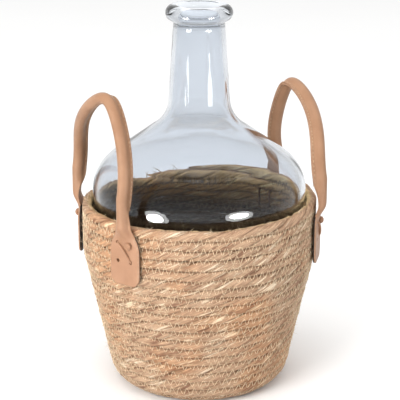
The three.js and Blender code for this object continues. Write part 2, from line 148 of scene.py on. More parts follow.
class HandleSizes(bpy.types.PropertyGroup):
    """Sizes of the leather straps and their laces"""

    hinge_x: length("Hinge distance", 0.09882, "From the axis to the bend of the strap")
    hinge_z: length("Hinge height", 0.179, "Of the bend of the strap")
    half_loop: length("Half loop", 0.05705, "Half the distance between the two legs")
    grip_reach: length("Grip reach", 0.1082, "From the axis to the top of the loop")
    leg: length("Leg", 0.021, "Straight part over the bend")
    left_arch: length("Left arch", 0.086, "Height of the left loop's arch over the legs")
    right_arch: length("Right arch", 0.070, "Height of the right loop's arch over the legs")
    left_front_narrowing: ratio("Left front narrowing", 0.35, "Of the left arch's front leg, past an ellipse")
    left_back_narrowing: ratio("Left back narrowing", 0.55, "Of the left arch's back leg")
    right_narrowing: ratio("Right narrowing", 0.45, "Of both legs of the right arch")
    left_sway: length("Left sway", 0.031, "Of the left loop's top towards the front")
    right_sway: length("Right sway", 0.030, "Of the right loop's top towards the back")
    roll_radius: length("Roll radius", 0.0052, "Of the rolled leather")
    roll_height: length("Roll height", 0.017, "Over the bend, where the strap is round")
    tab_angle: angle("Tab angle", 30, "From the middle of the handle to each tab")
    tab_radius: length("Tab radius", 0.11090, "From the axis to the middle of the tab's leather")
    tab_bottom: length("Tab bottom", 0.121, "Height of the tab's lower end")
    tab_top: length("Tab top", 0.1540, "Height where the tab starts to narrow")
    tab_width: length("Tab width", 0.032, "Of the flat tab")
    tab_corner: length("Tab corner", 0.009, "Round of the tab's corners")
    strap_width: length("Strap width", 0.0168, "Of the strap at the rim")
    standoff: length("Standoff", 0.0032, "How far the strap leans out over the rim")
    leather: length("Leather", 0.0028, "Thickness of the tab")
    rim: length("Rim", 0.1755, "Height of the basket's rim")
    lace_height: length("Lace height", 0.152, "Of the middle of the four holes")
    lace_span: length("Lace span", 0.014, "Between the holes, across")
    lace_rise: length("Lace rise", 0.017, "Between the holes, upwards")
    lace_radius: length("Lace radius", 0.0011, "Of the lace")
    lace_inside: length("Lace inside", 0.0986, "From the axis to the lace's inner runs")
    hole_radius: length("Hole radius", 0.0017, "Of the holes in the tab")
    knot: length("Knot", 0.0023, "Radius of the lace's knot, to the middle of the lace")
    stitch: length("Stitch", 0.0037, "From one stitch of the seam to the next")


class Finishes(bpy.types.PropertyGroup):
    """Colours of the finishes"""

    glass: colour("Glass", (0.807, 0.840, 0.885), "Tint of the clear glass")
    straw: colour("Straw", (0.48, 0.295, 0.185), "Most of the rush")
    peach: colour("Peach", (0.63, 0.415, 0.275), "Pinkish leaves")
    cream: colour("Cream", (0.83, 0.67, 0.50), "Bleached leaves")
    russet: colour("Russet", (0.28, 0.145, 0.09), "Reddish leaves")
    # Painted shade: the colour the rope takes in its grooves, at its leaves' edges and in the seams' needle holes
    hollow: colour("Hollow", (0.21, 0.12, 0.068), "Between the strands")
    # Painted shade on the basket's inner face, darkest part way up the wall
    inside: colour("Inside", (0.10, 0.085, 0.066), "Dimming of the wall's inner face")
    # Painted shade, weak, on the basket's floor and the wall's foot inside
    inside_low_painted_shade: colour("Inside low", (0.95, 0.84, 0.66), "Dimming of the floor and the wall's foot inside")
    # Painted light: the inner face by the rim toned warm and lit, at the top of the inside's shade ramp
    rim_inside_painted_light: colour("Rim inside", (1.0, 0.93, 0.64), "Toning of the inner face by the rim")
    # Painted light: a golden glow screened onto the inner face just under the rim
    rim_painted_light: colour("Rim glow", (0.74, 0.55, 0.28), "Bleached inner face at the rim")
    thread: colour("Thread", (0.86, 0.67, 0.45), "Sewing thread of the basket")
    # Painted shade: a darker copy of the thread for its runs inside the basket
    inner_thread_painted_shade: colour("Inner thread", (0.20, 0.15, 0.085), "The thread's runs inside the basket")
    tan: colour("Tan", (0.42, 0.228, 0.134), "Face of the leather")
    tan_shade: colour("Tan shade", (0.36, 0.187, 0.106), "Clouding of the leather")
    # Painted shade: a slight darkening of the straps above the rim, the grips and loops
    handled: colour("Handled", (0.93, 0.95, 0.94), "Darkening of the rolled grips")
    raw_edge: colour("Raw edge", (0.46, 0.28, 0.18), "Cut edges of the leather")
    # A dark lining on the tabs' backs; on their inner edges the same colour is painted shade of the gap off the
    # wall
    lining: colour("Lining", (0.035, 0.026, 0.022), "Back of the tabs")
    seam: colour("Seam thread", (0.60, 0.41, 0.27), "Stitches of the handles")
    cord: colour("Cord", (0.66, 0.58, 0.44), "Core of the handles")
    floor: colour("Floor", (0.965, 0.965, 0.96), "Studio floor")


# Small tools for making pieces

def new_object(name, data):
    thing = bpy.data.objects.new(name, data)
    bpy.context.scene.collection.objects.link(thing)
    return thing


def object_from(bm, name, *materials):
    """A mesh object at the origin from a bmesh, with smooth faces."""
    mesh = bpy.data.meshes.new(name)
    for face in bm.faces:
        face.smooth = True
    bm.to_mesh(mesh)
    bm.free()
    for material in materials:
        mesh.materials.append(material)
    return new_object(name, mesh)


def baked_mesh(thing):
    """The object's mesh with its modifiers or bevel applied."""
    graph = bpy.context.evaluated_depsgraph_get()
    return bpy.data.meshes.new_from_object(thing.evaluated_get(graph))


def arc(centre, radius, start, end, steps):
    """Points on an arc in the plane of radius and height, by angles."""
    turns = [start + (end - start) * step / steps for step in range(steps + 1)]
    return [Vector((centre.x + radius * math.cos(t), centre.y + radius * math.sin(t))) for t in turns]


def smooth_share(value, low, high):
    """How far a value lies from low to high, eased at both ends."""
    share = min(1.0, max(0.0, (value - low) / (high - low)))
    return share * share * (3 - 2 * share)


def mix(a, b, share):
    return a + (b - a) * share


def profile_curve(points):
    """A closed flat curve that other curves take as their section."""
    data = bpy.data.curves.new("section", "CURVE")
    data.dimensions = "2D"
    spline = data.splines.new("POLY")
    spline.points.add(len(points) - 1)
    spline.points.foreach_set("co", [c for x, y in points for c in (x, y, 0, 1)])
    spline.use_cyclic_u = True
    return new_object("section", data)


def tube(name, paths, radius=None, section=None, sides=4, merge=True):
    """A mesh swept along paths. Each path is points, and may have radii and tilts."""
    data = bpy.data.curves.new(name, "CURVE")
    data.dimensions = "3D"
    data.twist_mode = "Z_UP" if section else "MINIMUM"
    if section:
        data.bevel_mode = "OBJECT"
        data.bevel_object = section
    else:
        data.bevel_depth = radius
        data.bevel_resolution = (sides - 4) // 2
    for path in paths:
        points = np.asarray(path["points"], float)
        spline = data.splines.new("POLY")
        spline.points.add(len(points) - 1)
        spline.points.foreach_set("co", np.column_stack((points, np.ones(len(points)))).ravel())
        spline.points.foreach_set("radius", np.asarray(path.get("radii", np.ones(len(points))), float))
        spline.points.foreach_set("tilt", np.asarray(path.get("tilts", np.zeros(len(points))), float))
    swept = new_object(name, data)
    mesh = baked_mesh(swept)
    bpy.data.objects.remove(swept)
    mesh.name = name
    thing = new_object(name, mesh)
    mesh.polygons.foreach_set("use_smooth", [True] * len(mesh.polygons))
    if merge:
        close_poles(mesh)
    return thing


def close_poles(mesh):
    """Joins the points of each tapered end into one."""
    bm = bmesh.new()
    bm.from_mesh(mesh)
    bmesh.ops.remove_doubles(bm, verts=bm.verts, dist=2e-6)
    bmesh.ops.dissolve_degenerate(bm, dist=1e-7, edges=bm.edges)
    bmesh.ops.recalc_face_normals(bm, faces=bm.faces)
    bm.to_mesh(mesh)
    bm.free()


def tapered(count, share=0.04):
    """Radii that run out to nothing at both ends of a path."""
    place = np.linspace(0, 1, count)
    return np.clip(np.minimum(place, 1 - place) / share, 0.0, 1.0) ** 0.5


def wavering(values, scale, seed):
    """Smooth noise between -1 and 1 along a row of lengths."""
    return np.array([noise.noise(Vector((v / scale, seed * 7.31, seed * 1.7))) for v in values])


# Materials

def opaque(tone):
    return (*tone, 1)


def node(tree, kind, at, **settings):
    """A new node, with values for its sockets or its own settings."""
    made = tree.nodes.new(kind)
    made.location = at
    for key, value in settings.items():
        if key in made.inputs:
            made.inputs[key].default_value = value
        else:
            setattr(made, key, value)
    return made


def give(tree, socket, value):
    """Links a socket to another one, or sets its plain value."""
    if isinstance(value, bpy.types.NodeSocket):
        tree.links.new(value, socket)
    else:
        socket.default_value = value


def maths(tree, at, operation, *values):
    made = node(tree, "ShaderNodeMath", at, operation=operation)
    for socket, value in zip(made.inputs, values):
        give(tree, socket, value)
    return made.outputs[0]


def ranged(tree, at, value, old=(0, 1), new=(0, 1)):
    """A value moved from its old range to a new one."""
    made = node(tree, "ShaderNodeMapRange", at)
    for label, number in zip(("From Min", "From Max", "To Min", "To Max"), (*old, *new)):
        made.inputs[label].default_value = number
    give(tree, made.inputs["Value"], value)
    return made.outputs["Result"]


def mixed(tree, at, factor, a, b, **settings):
    """Two values mixed, or two colours where the settings say so."""
    made = node(tree, "ShaderNodeMix", at, **settings)
    for label, value in (("Factor", factor), ("A", a), ("B", b)):
        give(tree, made.inputs[label], value)
    return made.outputs["Result"]


def toned(tree, at, factor, a, b, blend="MIX"):
    return mixed(tree, at, factor, a, b, data_type="RGBA", blend_type=blend)


def ramp(tree, at, factor, stops):
    made = node(tree, "ShaderNodeValToRGB", at)
    band = made.color_ramp
    while len(band.elements) < len(stops):
        band.elements.new(0.5)
    for element, (place, tone) in zip(band.elements, stops):
        element.position = place
        element.color = opaque(tone)
    give(tree, made.inputs["Fac"], factor)
    return made.outputs["Color"]


def texture(tree, kind, at, vector, **settings):
    made = node(tree, f"ShaderNodeTex{kind}", at, **settings)
    give(tree, made.inputs["Vector"], vector)
    return made.outputs


def object_place(tree, at):
    return node(tree, "ShaderNodeTexCoord", at).outputs["Object"]


def axes(tree, at, vector):
    made = node(tree, "ShaderNodeSeparateXYZ", at)
    give(tree, made.inputs[0], vector)
    return made.outputs


def stored(tree, at, name):
    return node(tree, "ShaderNodeAttribute", at, attribute_name=name).outputs


def group_with(name, inputs, outputs):
    """An empty shader group with named sockets."""
    tree = bpy.data.node_groups.new(name, "ShaderNodeTree")
    for label, kind, value in inputs:
        socket = tree.interface.new_socket(label, in_out="INPUT", socket_type=kind)
        if value is not None:
            socket.default_value = value
    for label, kind in outputs:
        tree.interface.new_socket(label, in_out="OUTPUT", socket_type=kind)
    given = node(tree, "NodeGroupInput", (-800, 0)).outputs
    out = node(tree, "NodeGroupOutput", (600, 0)).inputs
    return tree, given, out


def fibre_group():
    """Dry leaves drawn out along a strand: a tone for each leaf, its edges, and fine lines."""
    tree, given, out = group_with(
        "Fibre",
        [
            ("Vector", "NodeSocketVector", None),
            ("Leaf Length", "NodeSocketFloat", 42.0),
            ("Leaf Width", "NodeSocketFloat", 2.1),
            ("Line Width", "NodeSocketFloat", 9.0),
        ],
        [(label, "NodeSocketFloat") for label in ("Leaf", "Edge", "Line", "Height")],
    )
    vector = axes(tree, (-620, 0), given["Vector"])
    stretched = []
    for row, across in enumerate(("Leaf Width", "Line Width")):
        stretch = node(tree, "ShaderNodeCombineXYZ", (-260, -220 * row))
        for axis, factor in zip("XYZ", ("Leaf Length", across, across)):
            scaled = maths(tree, (-440, -220 * row), "MULTIPLY", vector[axis], given[factor])
            give(tree, stretch.inputs[axis], scaled)
        stretched.append(stretch.outputs[0])
    leaves, lines = stretched
    leaf = texture(tree, "Voronoi", (-60, 160), leaves, feature="F1", Scale=1.0)
    rim = texture(tree, "Voronoi", (-60, -120), leaves, feature="DISTANCE_TO_EDGE", Scale=1.0)
    tone = node(tree, "ShaderNodeSeparateColor", (140, 160))
    give(tree, tone.inputs[0], leaf["Color"])
    lobe = node(tree, "ShaderNodeVectorMath", (-260, 420), operation="MULTIPLY")
    lobe.inputs[1].default_value = (1.1, 0.34, 0.34)
    give(tree, lobe.inputs[0], leaves)
    patch = texture(tree, "Noise", (-60, 420), lobe.outputs[0], Scale=1.0, Detail=4.0, Roughness=0.62)
    spread = ranged(tree, (140, 420), patch["Fac"], (0.32, 0.68))
    edge = ranged(tree, (140, -120), rim["Distance"], (0, 0.10))
    line = texture(tree, "Noise", (-60, -380), lines, Scale=1.0, Detail=3.0, Roughness=0.6)["Fac"]
    give(tree, out["Leaf"], mixed(tree, (360, 260), 0.72, tone.outputs[0], spread))
    give(tree, out["Edge"], edge)
    give(tree, out["Line"], line)
    give(tree, out["Height"], mixed(tree, (360, -220), 0.55, edge, line))
    return tree


def hide_group():
    """Leather: soft clouding of the colour, and fine pebbled grain."""
    tree, given, out = group_with(
        "Hide",
        [
            ("Light", "NodeSocketColor", (0.6, 0.3, 0.2, 1)),
            ("Dark", "NodeSocketColor", (0.4, 0.2, 0.1, 1)),
            ("Cloud Scale", "NodeSocketFloat", 60.0),
            ("Grain Scale", "NodeSocketFloat", 1500.0),
        ],
        [("Color", "NodeSocketColor"), ("Roughness", "NodeSocketFloat"), ("Height", "NodeSocketFloat")],
    )
    place = object_place(tree, (-800, -300))
    cloud = node(tree, "ShaderNodeTexNoise", (-560, 100), Detail=4.0, Roughness=0.55)
    grain = node(tree, "ShaderNodeTexVoronoi", (-560, -200), feature="DISTANCE_TO_EDGE")
    for pattern, size in ((cloud, "Cloud Scale"), (grain, "Grain Scale")):
        give(tree, pattern.inputs["Vector"], place)
        give(tree, pattern.inputs["Scale"], given[size])
    crease = texture(tree, "Noise", (-560, -480), place, Scale=420.0, Detail=3.0)["Fac"]
    clouding = ranged(tree, (-300, 100), cloud.outputs["Fac"], (0.35, 0.7))
    edge = ranged(tree, (-300, -200), grain.outputs["Distance"], (0, 0.25))
    give(tree, out["Color"], toned(tree, (-60, 100), clouding, given["Light"], given["Dark"]))
    give(tree, out["Roughness"], ranged(tree, (-60, -120), crease, new=(0.28, 0.46)))
    give(tree, out["Height"], mixed(tree, (-60, -340), 0.45, edge, crease))
    return tree


def shared_group(tree, at, name, build):
    """A node with the group of that name, built where it isn't there yet."""
    return node(tree, "ShaderNodeGroup", at, node_tree=bpy.data.node_groups.get(name) or build())


def new_material(name, **settings):
    """A material whose shader has the given plain values, by socket."""
    material = bpy.data.materials.new(name)
    material.use_nodes = True
    tree = material.node_tree
    surface = tree.nodes["Principled BSDF"].inputs
    for label, value in settings.items():
        surface[label.replace("_", " ")].default_value = value
    return material, tree, surface


def bumped(tree, surface, height, strength, distance):
    bump = node(tree, "ShaderNodeBump", (-220, -320), Strength=strength, Distance=distance)
    give(tree, bump.inputs["Height"], height)
    give(tree, surface["Normal"], bump.outputs["Normal"])


def glass_material(name, tint):
    material, tree, surface = new_material(
        name, Base_Color=opaque(tint), Roughness=0.0, IOR=1.5, Specular_IOR_Level=0.12, Transmission_Weight=1.0
    )
    place = object_place(tree, (-900, -300))
    ripple = texture(tree, "Noise", (-600, -300), place, Scale=22.0, Detail=1.0)
    bumped(tree, surface, ripple["Fac"], 0.12, 0.004)
    return material


def leaf_tone(tree, f, fibre, place):
    """Colour of the leaves: a tone for each, fine lines along it, and broad warm and cool patches."""
    pale = tuple(min(1.0, c * 1.12) for c in f.cream)
    tones = [(0.08, f.russet), (0.32, f.straw), (0.50, f.peach), (0.66, f.straw), (0.80, f.cream), (0.95, pale)]
    streaks = [(0.28, (0.50, 0.45, 0.40)), (0.50, (1, 1, 1)), (0.75, (1.0, 0.97, 0.92))]
    weather = [(0.36, (0.97, 1.0, 1.0)), (0.5, (0.95, 0.94, 0.92)), (0.63, (1.0, 0.87, 0.74))]
    leaf = ramp(tree, (-1000, 260), fibre["Leaf"], tones)
    lines = ramp(tree, (-1000, 0), fibre["Line"], streaks)
    broad = texture(tree, "Noise", (-1250, 480), place, Scale=17.0, Detail=2.0)
    patches = ramp(tree, (-1000, 480), broad["Fac"], weather)
    weathered = toned(tree, (-820, 360), 1.0, leaf, patches, "MULTIPLY")
    return toned(tree, (-700, 160), 0.85, weathered, lines, "MULTIPLY")


def rope_painted_shade(tree, lay, seat, fibre, place):
    """How much of the rope's surface is left without painted shade: less in its grooves, at its leaves' edges and
    in the seams' needle holes.
    """
    # Painted shade in the grooves between the two strands
    groove = ranged(tree, (-1000, -260), lay["Y"], (-0.85, -0.10))
    beat = maths(tree, (-1000, -520), "MULTIPLY", lay["X"], 2 * math.pi / HOLE_SPACING)
    wave = maths(tree, (-820, -520), "SINE", beat)
    holes = ranged(tree, (-640, -520), wave, (-0.3, 0.8), (0.12, 1))
    # Painted shade along the seams between turns, broken into dots at the needle holes
    seam = ranged(tree, (-1000, -760), seat["X"], (0.78, 1.0))
    patchy = texture(tree, "Noise", (-1000, -980), place, Scale=62.0, Detail=2.0)
    loose = ranged(tree, (-820, -980), patchy["Fac"], (0.40, 0.62), (0.15, 1))
    gap = maths(tree, (-640, -760), "MULTIPLY", loose, seam)
    dotted = maths(tree, (-460, -640), "MULTIPLY", holes, gap)
    open_part = maths(tree, (-460, -460), "SUBTRACT", 1.0, dotted)
    edges = ranged(tree, (-700, -140), fibre["Edge"], new=(0.68, 1))
    depth = maths(tree, (-460, -260), "MULTIPLY", groove, open_part)
    return maths(tree, (-280, -200), "MULTIPLY", depth, edges)


def rush_material(name, f):
    """Twisted leaves, with painted shade between the strands and inside the basket, and painted light on its inner
    face by the rim.
    """
    material, tree, surface = new_material(name, Roughness=0.72, Specular_IOR_Level=0.28)
    along = stored(tree, (-1500, 0), "lay")["Vector"]
    group = shared_group(tree, (-1250, 100), "Fibre", fibre_group)
    give(tree, group.inputs["Vector"], along)
    fibre = group.outputs
    place = object_place(tree, (-1250, -1100))
    lay = axes(tree, (-1250, -260), along)
    seat = axes(tree, (-1250, -760), stored(tree, (-1500, -760), "seat")["Vector"])
    depth = rope_painted_shade(tree, lay, seat, fibre, place)
    # Painted shade: the rope turns towards the hollow colour where the mask above is low
    tone = toned(tree, (-120, 160), depth, opaque(f.hollow), leaf_tone(tree, f, fibre, place))
    # Painted shade inside the basket: the inner face darkens by height through the ramp below, from the floor up
    # towards the rim
    within = ranged(tree, (-460, -900), seat["Y"], (0.1, -0.75))
    level = axes(tree, (-820, -1100), place)["Z"]
    rising = ranged(tree, (-640, -1100), level, (0, 0.170))
    stops = [(0.35, f.inside_low_painted_shade), (0.58, f.inside), (0.81, f.inside), (1.0, f.rim_inside_painted_light)]
    inner = ramp(tree, (-460, -1100), rising, stops)
    shaded = toned(tree, (60, 160), within, tone, inner, "MULTIPLY")
    # Painted light: a golden glow on the inner face just under the rim
    top = ranged(tree, (-200, -1100), level, (0.160, 0.176), (0, 0.6))
    sunlit = maths(tree, (-20, -1000), "MULTIPLY", within, top)
    golden = toned(tree, (220, 160), sunlit, shaded, opaque(f.rim_painted_light), "SCREEN")
    give(tree, surface["Base Color"], golden)
    bumped(tree, surface, fibre["Height"], 0.8, 0.0009)
    return material


def thread_material(name, tone):
    """Spun thread, mottled by its twist."""
    material, tree, surface = new_material(name, Roughness=0.7)
    twist = texture(tree, "Noise", (-860, 0), object_place(tree, (-1100, 0)), Scale=900.0, Detail=2.0)["Fac"]
    dark = tuple(c * 0.6 for c in tone)
    give(tree, surface["Base Color"], ramp(tree, (-620, 100), twist, [(0.35, dark), (0.62, tone)]))
    bumped(tree, surface, twist, 0.4, 0.0003)
    return material


def within_wall_painted_shade(tree, tone, dim):
    """Paints shade on what lies inside the basket's wall."""
    flat = node(tree, "ShaderNodeVectorMath", (-900, 560), operation="MULTIPLY")
    flat.inputs[1].default_value = (1, 1, 0)
    give(tree, flat.inputs[0], object_place(tree, (-1100, 560)))
    reach = node(tree, "ShaderNodeVectorMath", (-720, 560), operation="LENGTH")
    give(tree, reach.inputs[0], flat.outputs[0])
    inner = ranged(tree, (-540, 560), reach.outputs["Value"], (WALL_INSIDE + 0.002, WALL_INSIDE))
    return toned(tree, (-340, 460), inner, tone, opaque(dim), "MULTIPLY")


def hide_material(name, light, dark, grain=1500.0, cloud=60.0, handled=None, inside=None):
    """Leather. Given a colour, the straps above the rim get a slight painted shade by a stored share, and parts
    inside the basket's wall a painted shade.
    """
    material, tree, surface = new_material(name, Specular_IOR_Level=0.4)
    hide = shared_group(tree, (-620, 100), "Hide", hide_group)
    plain = {"Light": opaque(light), "Dark": opaque(dark), "Cloud Scale": cloud, "Grain Scale": grain}
    for label, value in plain.items():
        hide.inputs[label].default_value = value
    tone = hide.outputs["Color"]
    if handled:
        grip_shade_share = stored(tree, (-620, 360), "handled")["Fac"]
        tone = toned(tree, (-340, 260), grip_shade_share, tone, opaque(handled), "MULTIPLY")
    if inside:
        tone = within_wall_painted_shade(tree, tone, inside)
    give(tree, surface["Base Color"], tone)
    give(tree, surface["Roughness"], hide.outputs["Roughness"])
    bumped(tree, surface, hide.outputs["Height"], 0.35, 0.0003)
    return material


def floor_material(name, tone):
    material, tree, surface = new_material(name, Roughness=0.9)
    cloud = texture(tree, "Noise", (-660, 0), object_place(tree, (-900, 0)), Scale=3.0, Detail=2.0)
    dim = tuple(c * 0.985 for c in tone)
    give(tree, surface["Base Color"], ramp(tree, (-420, 0), cloud["Fac"], [(0.3, dim), (0.7, tone)]))
    return material


def finish(name, build, *tones, **settings):
    """The material of that name, built where it isn't there yet."""
    return bpy.data.materials.get(name) or build(name, *tones, **settings)


# Glass

def bottle_outline(b):
    """The wall's outline in radius and height, from the axis outside to the axis inside."""
    quarter = math.pi / 2
    taper, slope, neck_lean = b.body_taper, b.shoulder_slope, b.neck_taper
    shoulder = Vector((b.body_radius - b.shoulder_radius, b.body_height))
    lip_bottom = b.height - 2 * b.lip_radius
    heel_line = shoulder.x + b.shoulder_radius / math.cos(taper)
    heel_line += (b.heel_radius - shoulder.y) * math.tan(taper)
    heel = Vector((heel_line - b.heel_radius / math.cos(taper), b.heel_radius))
    cone = Vector((math.cos(slope), math.sin(slope)))
    neck = Vector((math.cos(neck_lean), math.sin(neck_lean)))
    to_cone = shoulder.dot(cone) + b.shoulder_radius + b.neck_fillet
    to_neck = neck.dot(Vector((b.neck_radius, lip_bottom))) + b.neck_fillet
    cross = cone.x * neck.y - cone.y * neck.x
    fillet = Vector((
        (to_cone * neck.y - to_neck * cone.y) / cross,
        (to_neck * cone.x - to_cone * neck.x) / cross,
    ))
    lip = Vector((b.neck_radius, lip_bottom + b.lip_radius))
    mouth = Vector((b.mouth_radius + b.mouth_round, b.height - b.mouth_round))

    def punt(rise):
        shares = [row / 8 for row in range(9)]
        return [Vector((b.punt_radius * s, b.punt_height * (1 - s**2) + rise)) for s in shares]

    def straight(a, z, steps):
        return [a.lerp(z, step / steps) for step in range(1, steps)]

    outside = punt(0) + arc(heel, b.heel_radius, -quarter, -taper, 10)
    body = arc(shoulder, b.shoulder_radius, -taper, slope, 26)
    outside += straight(outside[-1], body[0], 18) + body
    hollow = arc(fillet, b.neck_fillet, math.pi + slope, math.pi + neck_lean, 16)
    outside += straight(outside[-1], hollow[0], 6) + hollow
    under_lip = Vector((b.neck_radius, lip_bottom - 0.0015))
    outside += straight(outside[-1], under_lip, 12)
    outside += [under_lip] + arc(lip, b.lip_radius, -quarter + 0.28, quarter, 18)
    inside = arc(mouth, b.mouth_round, quarter, math.pi, 8)
    hollow = arc(fillet, b.neck_fillet + b.wall, math.pi + neck_lean, math.pi + slope, 16)
    inside += straight(inside[-1], hollow[0], 12) + hollow
    body = arc(shoulder, b.shoulder_radius - b.wall, slope, -taper, 26)
    inside += straight(inside[-1], body[0], 6) + body
    bend = arc(heel, b.heel_radius - b.wall, -taper, -quarter, 10)
    inside += straight(inside[-1], bend[0], 18) + bend + punt(b.wall)[::-1]
    return outside, inside


class DEMIJOHN_OT_bottle(bpy.types.Operator):
    """Turn the blown glass bottle and set it in the basket"""

    bl_idname = "demijohn.bottle"
    bl_label = "Glass Bottle"

    def execute(self, context):
        b = context.scene.demijohn_bottle
        outside, inside = bottle_outline(b)
        bm = bmesh.new()
        row = [bm.verts.new((p.x, 0, p.y + b.foot)) for p in outside + inside]
        edges = [bm.edges.new(pair) for pair in zip(row, row[1:])]
        turned = {"cent": (0, 0, 0), "axis": UP, "angle": 2 * math.pi, "steps": b.sides}
        bmesh.ops.spin(bm, geom=row + edges, use_merge=True, **turned)
        bmesh.ops.remove_doubles(bm, verts=bm.verts, dist=1e-6)
        bmesh.ops.recalc_face_normals(bm, faces=bm.faces)
        within = b.wall * 0.5
        limit = {round(p.y + b.foot, 6): p.x for p in inside}
        for vert in bm.verts:
            reach = math.hypot(vert.co.x, vert.co.y)
            wanted = limit.get(round(vert.co.z, 6))
            if reach < b.mouth_radius + within or wanted is None or abs(reach - wanted) > 1e-5:
                continue
            uneven = noise.noise(vert.co * 26 + Vector((4.1, 0, 0))) - 0.35
            scale = 1 + b.wave * uneven / reach
            vert.co.x *= scale
            vert.co.y *= scale
        clear = finish("clear glass", glass_material, context.scene.demijohn_finishes.glass)
        bottle = object_from(bm, "bottle_glass", clear)
        bottle.visible_shadow = False
        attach(bottle, "bottle")
        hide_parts("glass_bottle")
        return {"FINISHED"}


# Basket

LOOK_AHEAD = 0.0008  # along the rope's line, for its direction
ROPE_BOB = 0.0014  # how far the turns rise and fall
ROPE_DRIFT_UP = 0.00045  # how far the rope's middle strays along the wall
ROPE_DRIFT_OUT = 0.0005  # and through it
STRAND_SIDES = 22
STRAND_OFFSET = 0.35  # from the rope's middle to a strand's, of half the thickness
PRESSED = 1.06  # how far the sewing spreads the rope towards its neighbours
SQUARED = 0.8  # how far it presses the rope square
SEWN_FROM = 0.060  # along the rope's line, where the wall's sewing starts
SWINGS = (0, 0.5, 1, 0.5, 0, -0.5, -1, -0.5)  # of the zigzag, eight points to a stitch
LIFTS = (0.10, 0.34, -0.15, 0.34, 0.10, 0.34, -0.15, 0.34)  # millimetres off the rope
FIBRES = 900
RIM_FIBRES = 150
RIM_STUBBLE = 60  # of them, short and all round the rim
FIBRE_RADIUS = 0.00026


def rope_line(k):
    """The rope's middle line in radius and height, by length from where it begins."""
    lean = math.atan2(k.band_radius - k.wall_foot, k.knee_height - k.rope_height)
    knee = Vector((k.band_radius - k.knee_radius, k.knee_height + k.knee_radius * math.tan(lean / 2)))
    corner = Vector((k.floor_radius, k.rope_height + k.corner_radius))
    points = [Vector((k.start, k.rope_height))]
    points += arc(corner, k.corner_radius, -math.pi / 2, -lean, 24)
    points += arc(knee, k.knee_radius, -lean, 0, 12)
    points.append(Vector((k.band_radius, k.rim_height)))
    row = np.array([tuple(p) for p in points])
    steps = np.concatenate(([0], np.cumsum(np.linalg.norm(np.diff(row, axis=0), axis=1))))
    return steps, row


def rope_frames(k, run):
    """Middle, up-the-wall and outward directions of the rope at lengths of its line."""
    steps, row = rope_line(k)
    radius = np.interp(run, steps, row[:, 0])
    height = np.interp(run, steps, row[:, 1])
    near, far = run - LOOK_AHEAD, run + LOOK_AHEAD
    ahead, rise = (np.interp(far, steps, row[:, i]) - np.interp(near, steps, row[:, i]) for i in (0, 1))
    slant = np.arctan2(rise, ahead)
    turn = 2 * np.pi * (run - steps[-1]) / k.pitch + k.end_azimuth
    east = np.column_stack((np.cos(turn), np.sin(turn), np.zeros_like(turn)))
    up = np.array((0, 0, 1.0))
    spots = zip(np.cos(turn), np.sin(turn), run)
    bob = [noise.noise(Vector((3.1 * c, 3.1 * s, r / 0.024))) for c, s, r in spots]
    height = height + ROPE_BOB * np.array(bob) * np.clip((height - 0.02) / 0.03, 0, 1)
    middle = east * radius[:, None] + up * height[:, None]
    along = east * np.cos(slant)[:, None] + up * np.sin(slant)[:, None]
    across = east * np.sin(slant)[:, None] - up * np.cos(slant)[:, None]
    return middle, along, across, slant, turn


def rope_runs(k, start, end, step):
    """Evenly spaced lengths of rope between two lengths of its line."""
    fine = np.linspace(start, end, 20000)
    steps, row = rope_line(k)
    radius = np.interp(fine, steps, row[:, 0])
    rope = np.concatenate(([0], np.cumsum(np.hypot(2 * np.pi * radius[1:] / k.pitch, 1) * np.diff(fine))))
    lengths = np.linspace(0, rope[-1], int(rope[-1] / step))
    return np.interp(lengths, rope, fine), lengths


def strand_section(k):
    """One strand's outline: thick towards the outside of the rope, with the folds of its leaves."""
    half = k.thickness / 2
    points = []
    for side in range(STRAND_SIDES):
        turn = 2 * math.pi * side / STRAND_SIDES
        fold = 0.985 + 0.04 * math.cos(5 * turn + 0.6) + 0.03 * math.cos(9 * turn)
        points.append((0.64 * half * math.cos(turn) * fold, 0.97 * half * math.sin(turn) * fold))
    return points


def lay_attribute(mesh, lengths):
    """Stores length along the strand and place round it on every point."""
    turn = 2 * np.pi * np.arange(STRAND_SIDES) / STRAND_SIDES
    values = np.zeros((len(lengths), STRAND_SIDES, 3), np.float32)
    values[:, :, 0] = np.asarray(lengths)[:, None]
    values[:, :, 1] = np.cos(turn)
    values[:, :, 2] = np.sin(turn)
    layer = mesh.attributes.new("lay", "FLOAT_VECTOR", "POINT")
    layer.data.foreach_set("vector", values.ravel())


def seat_attribute(k, mesh, section, offset, radii, twist):
    """Stores where each point lies in the rope: towards the next turn, and out through the wall."""
    outline = np.array([tuple(p.co)[:2] for p in section.data.splines[0].points])
    forth = offset[:, None] + radii[:, None] * outline[None, :, 0]
    sideways = radii[:, None] * outline[None, :, 1]
    cos, sin = np.cos(twist)[:, None], np.sin(twist)[:, None]
    values = np.zeros((*forth.shape, 3), np.float32)
    values[:, :, 0] = np.abs(forth * cos + sideways * sin) / (k.pitch / 2)
    values[:, :, 1] = (forth * sin - sideways * cos) / (k.thickness / 2)
    layer = mesh.attributes.new("seat", "FLOAT_VECTOR", "POINT")
    layer.data.foreach_set("vector", values.ravel())


def pressed_square(mesh, middle, along, across, close):
    """Presses the round rope towards a square and its neighbours, as the sewing draws its turns together."""
    places = np.zeros(len(mesh.vertices) * 3)
    mesh.vertices.foreach_get("co", places)
    offsets = places.reshape(len(middle), -1, 3) - middle[:, None]
    forth = (offsets * along[:, None]).sum(2)
    offsets += along[:, None] * (forth * (close[:, None] - 1))[:, :, None]
    forth *= close[:, None]
    sideways = (offsets * across[:, None]).sum(2)
    rounded = np.hypot(forth, sideways) + 1e-9
    squared = (np.abs(forth) ** 4 + np.abs(sideways) ** 4) ** 0.25 + 1e-9
    places = middle[:, None] + offsets * (rounded / squared)[:, :, None] ** SQUARED
    places[:, :, 2] = np.maximum(places[:, :, 2], 0.0)
    mesh.vertices.foreach_set("co", places.ravel())


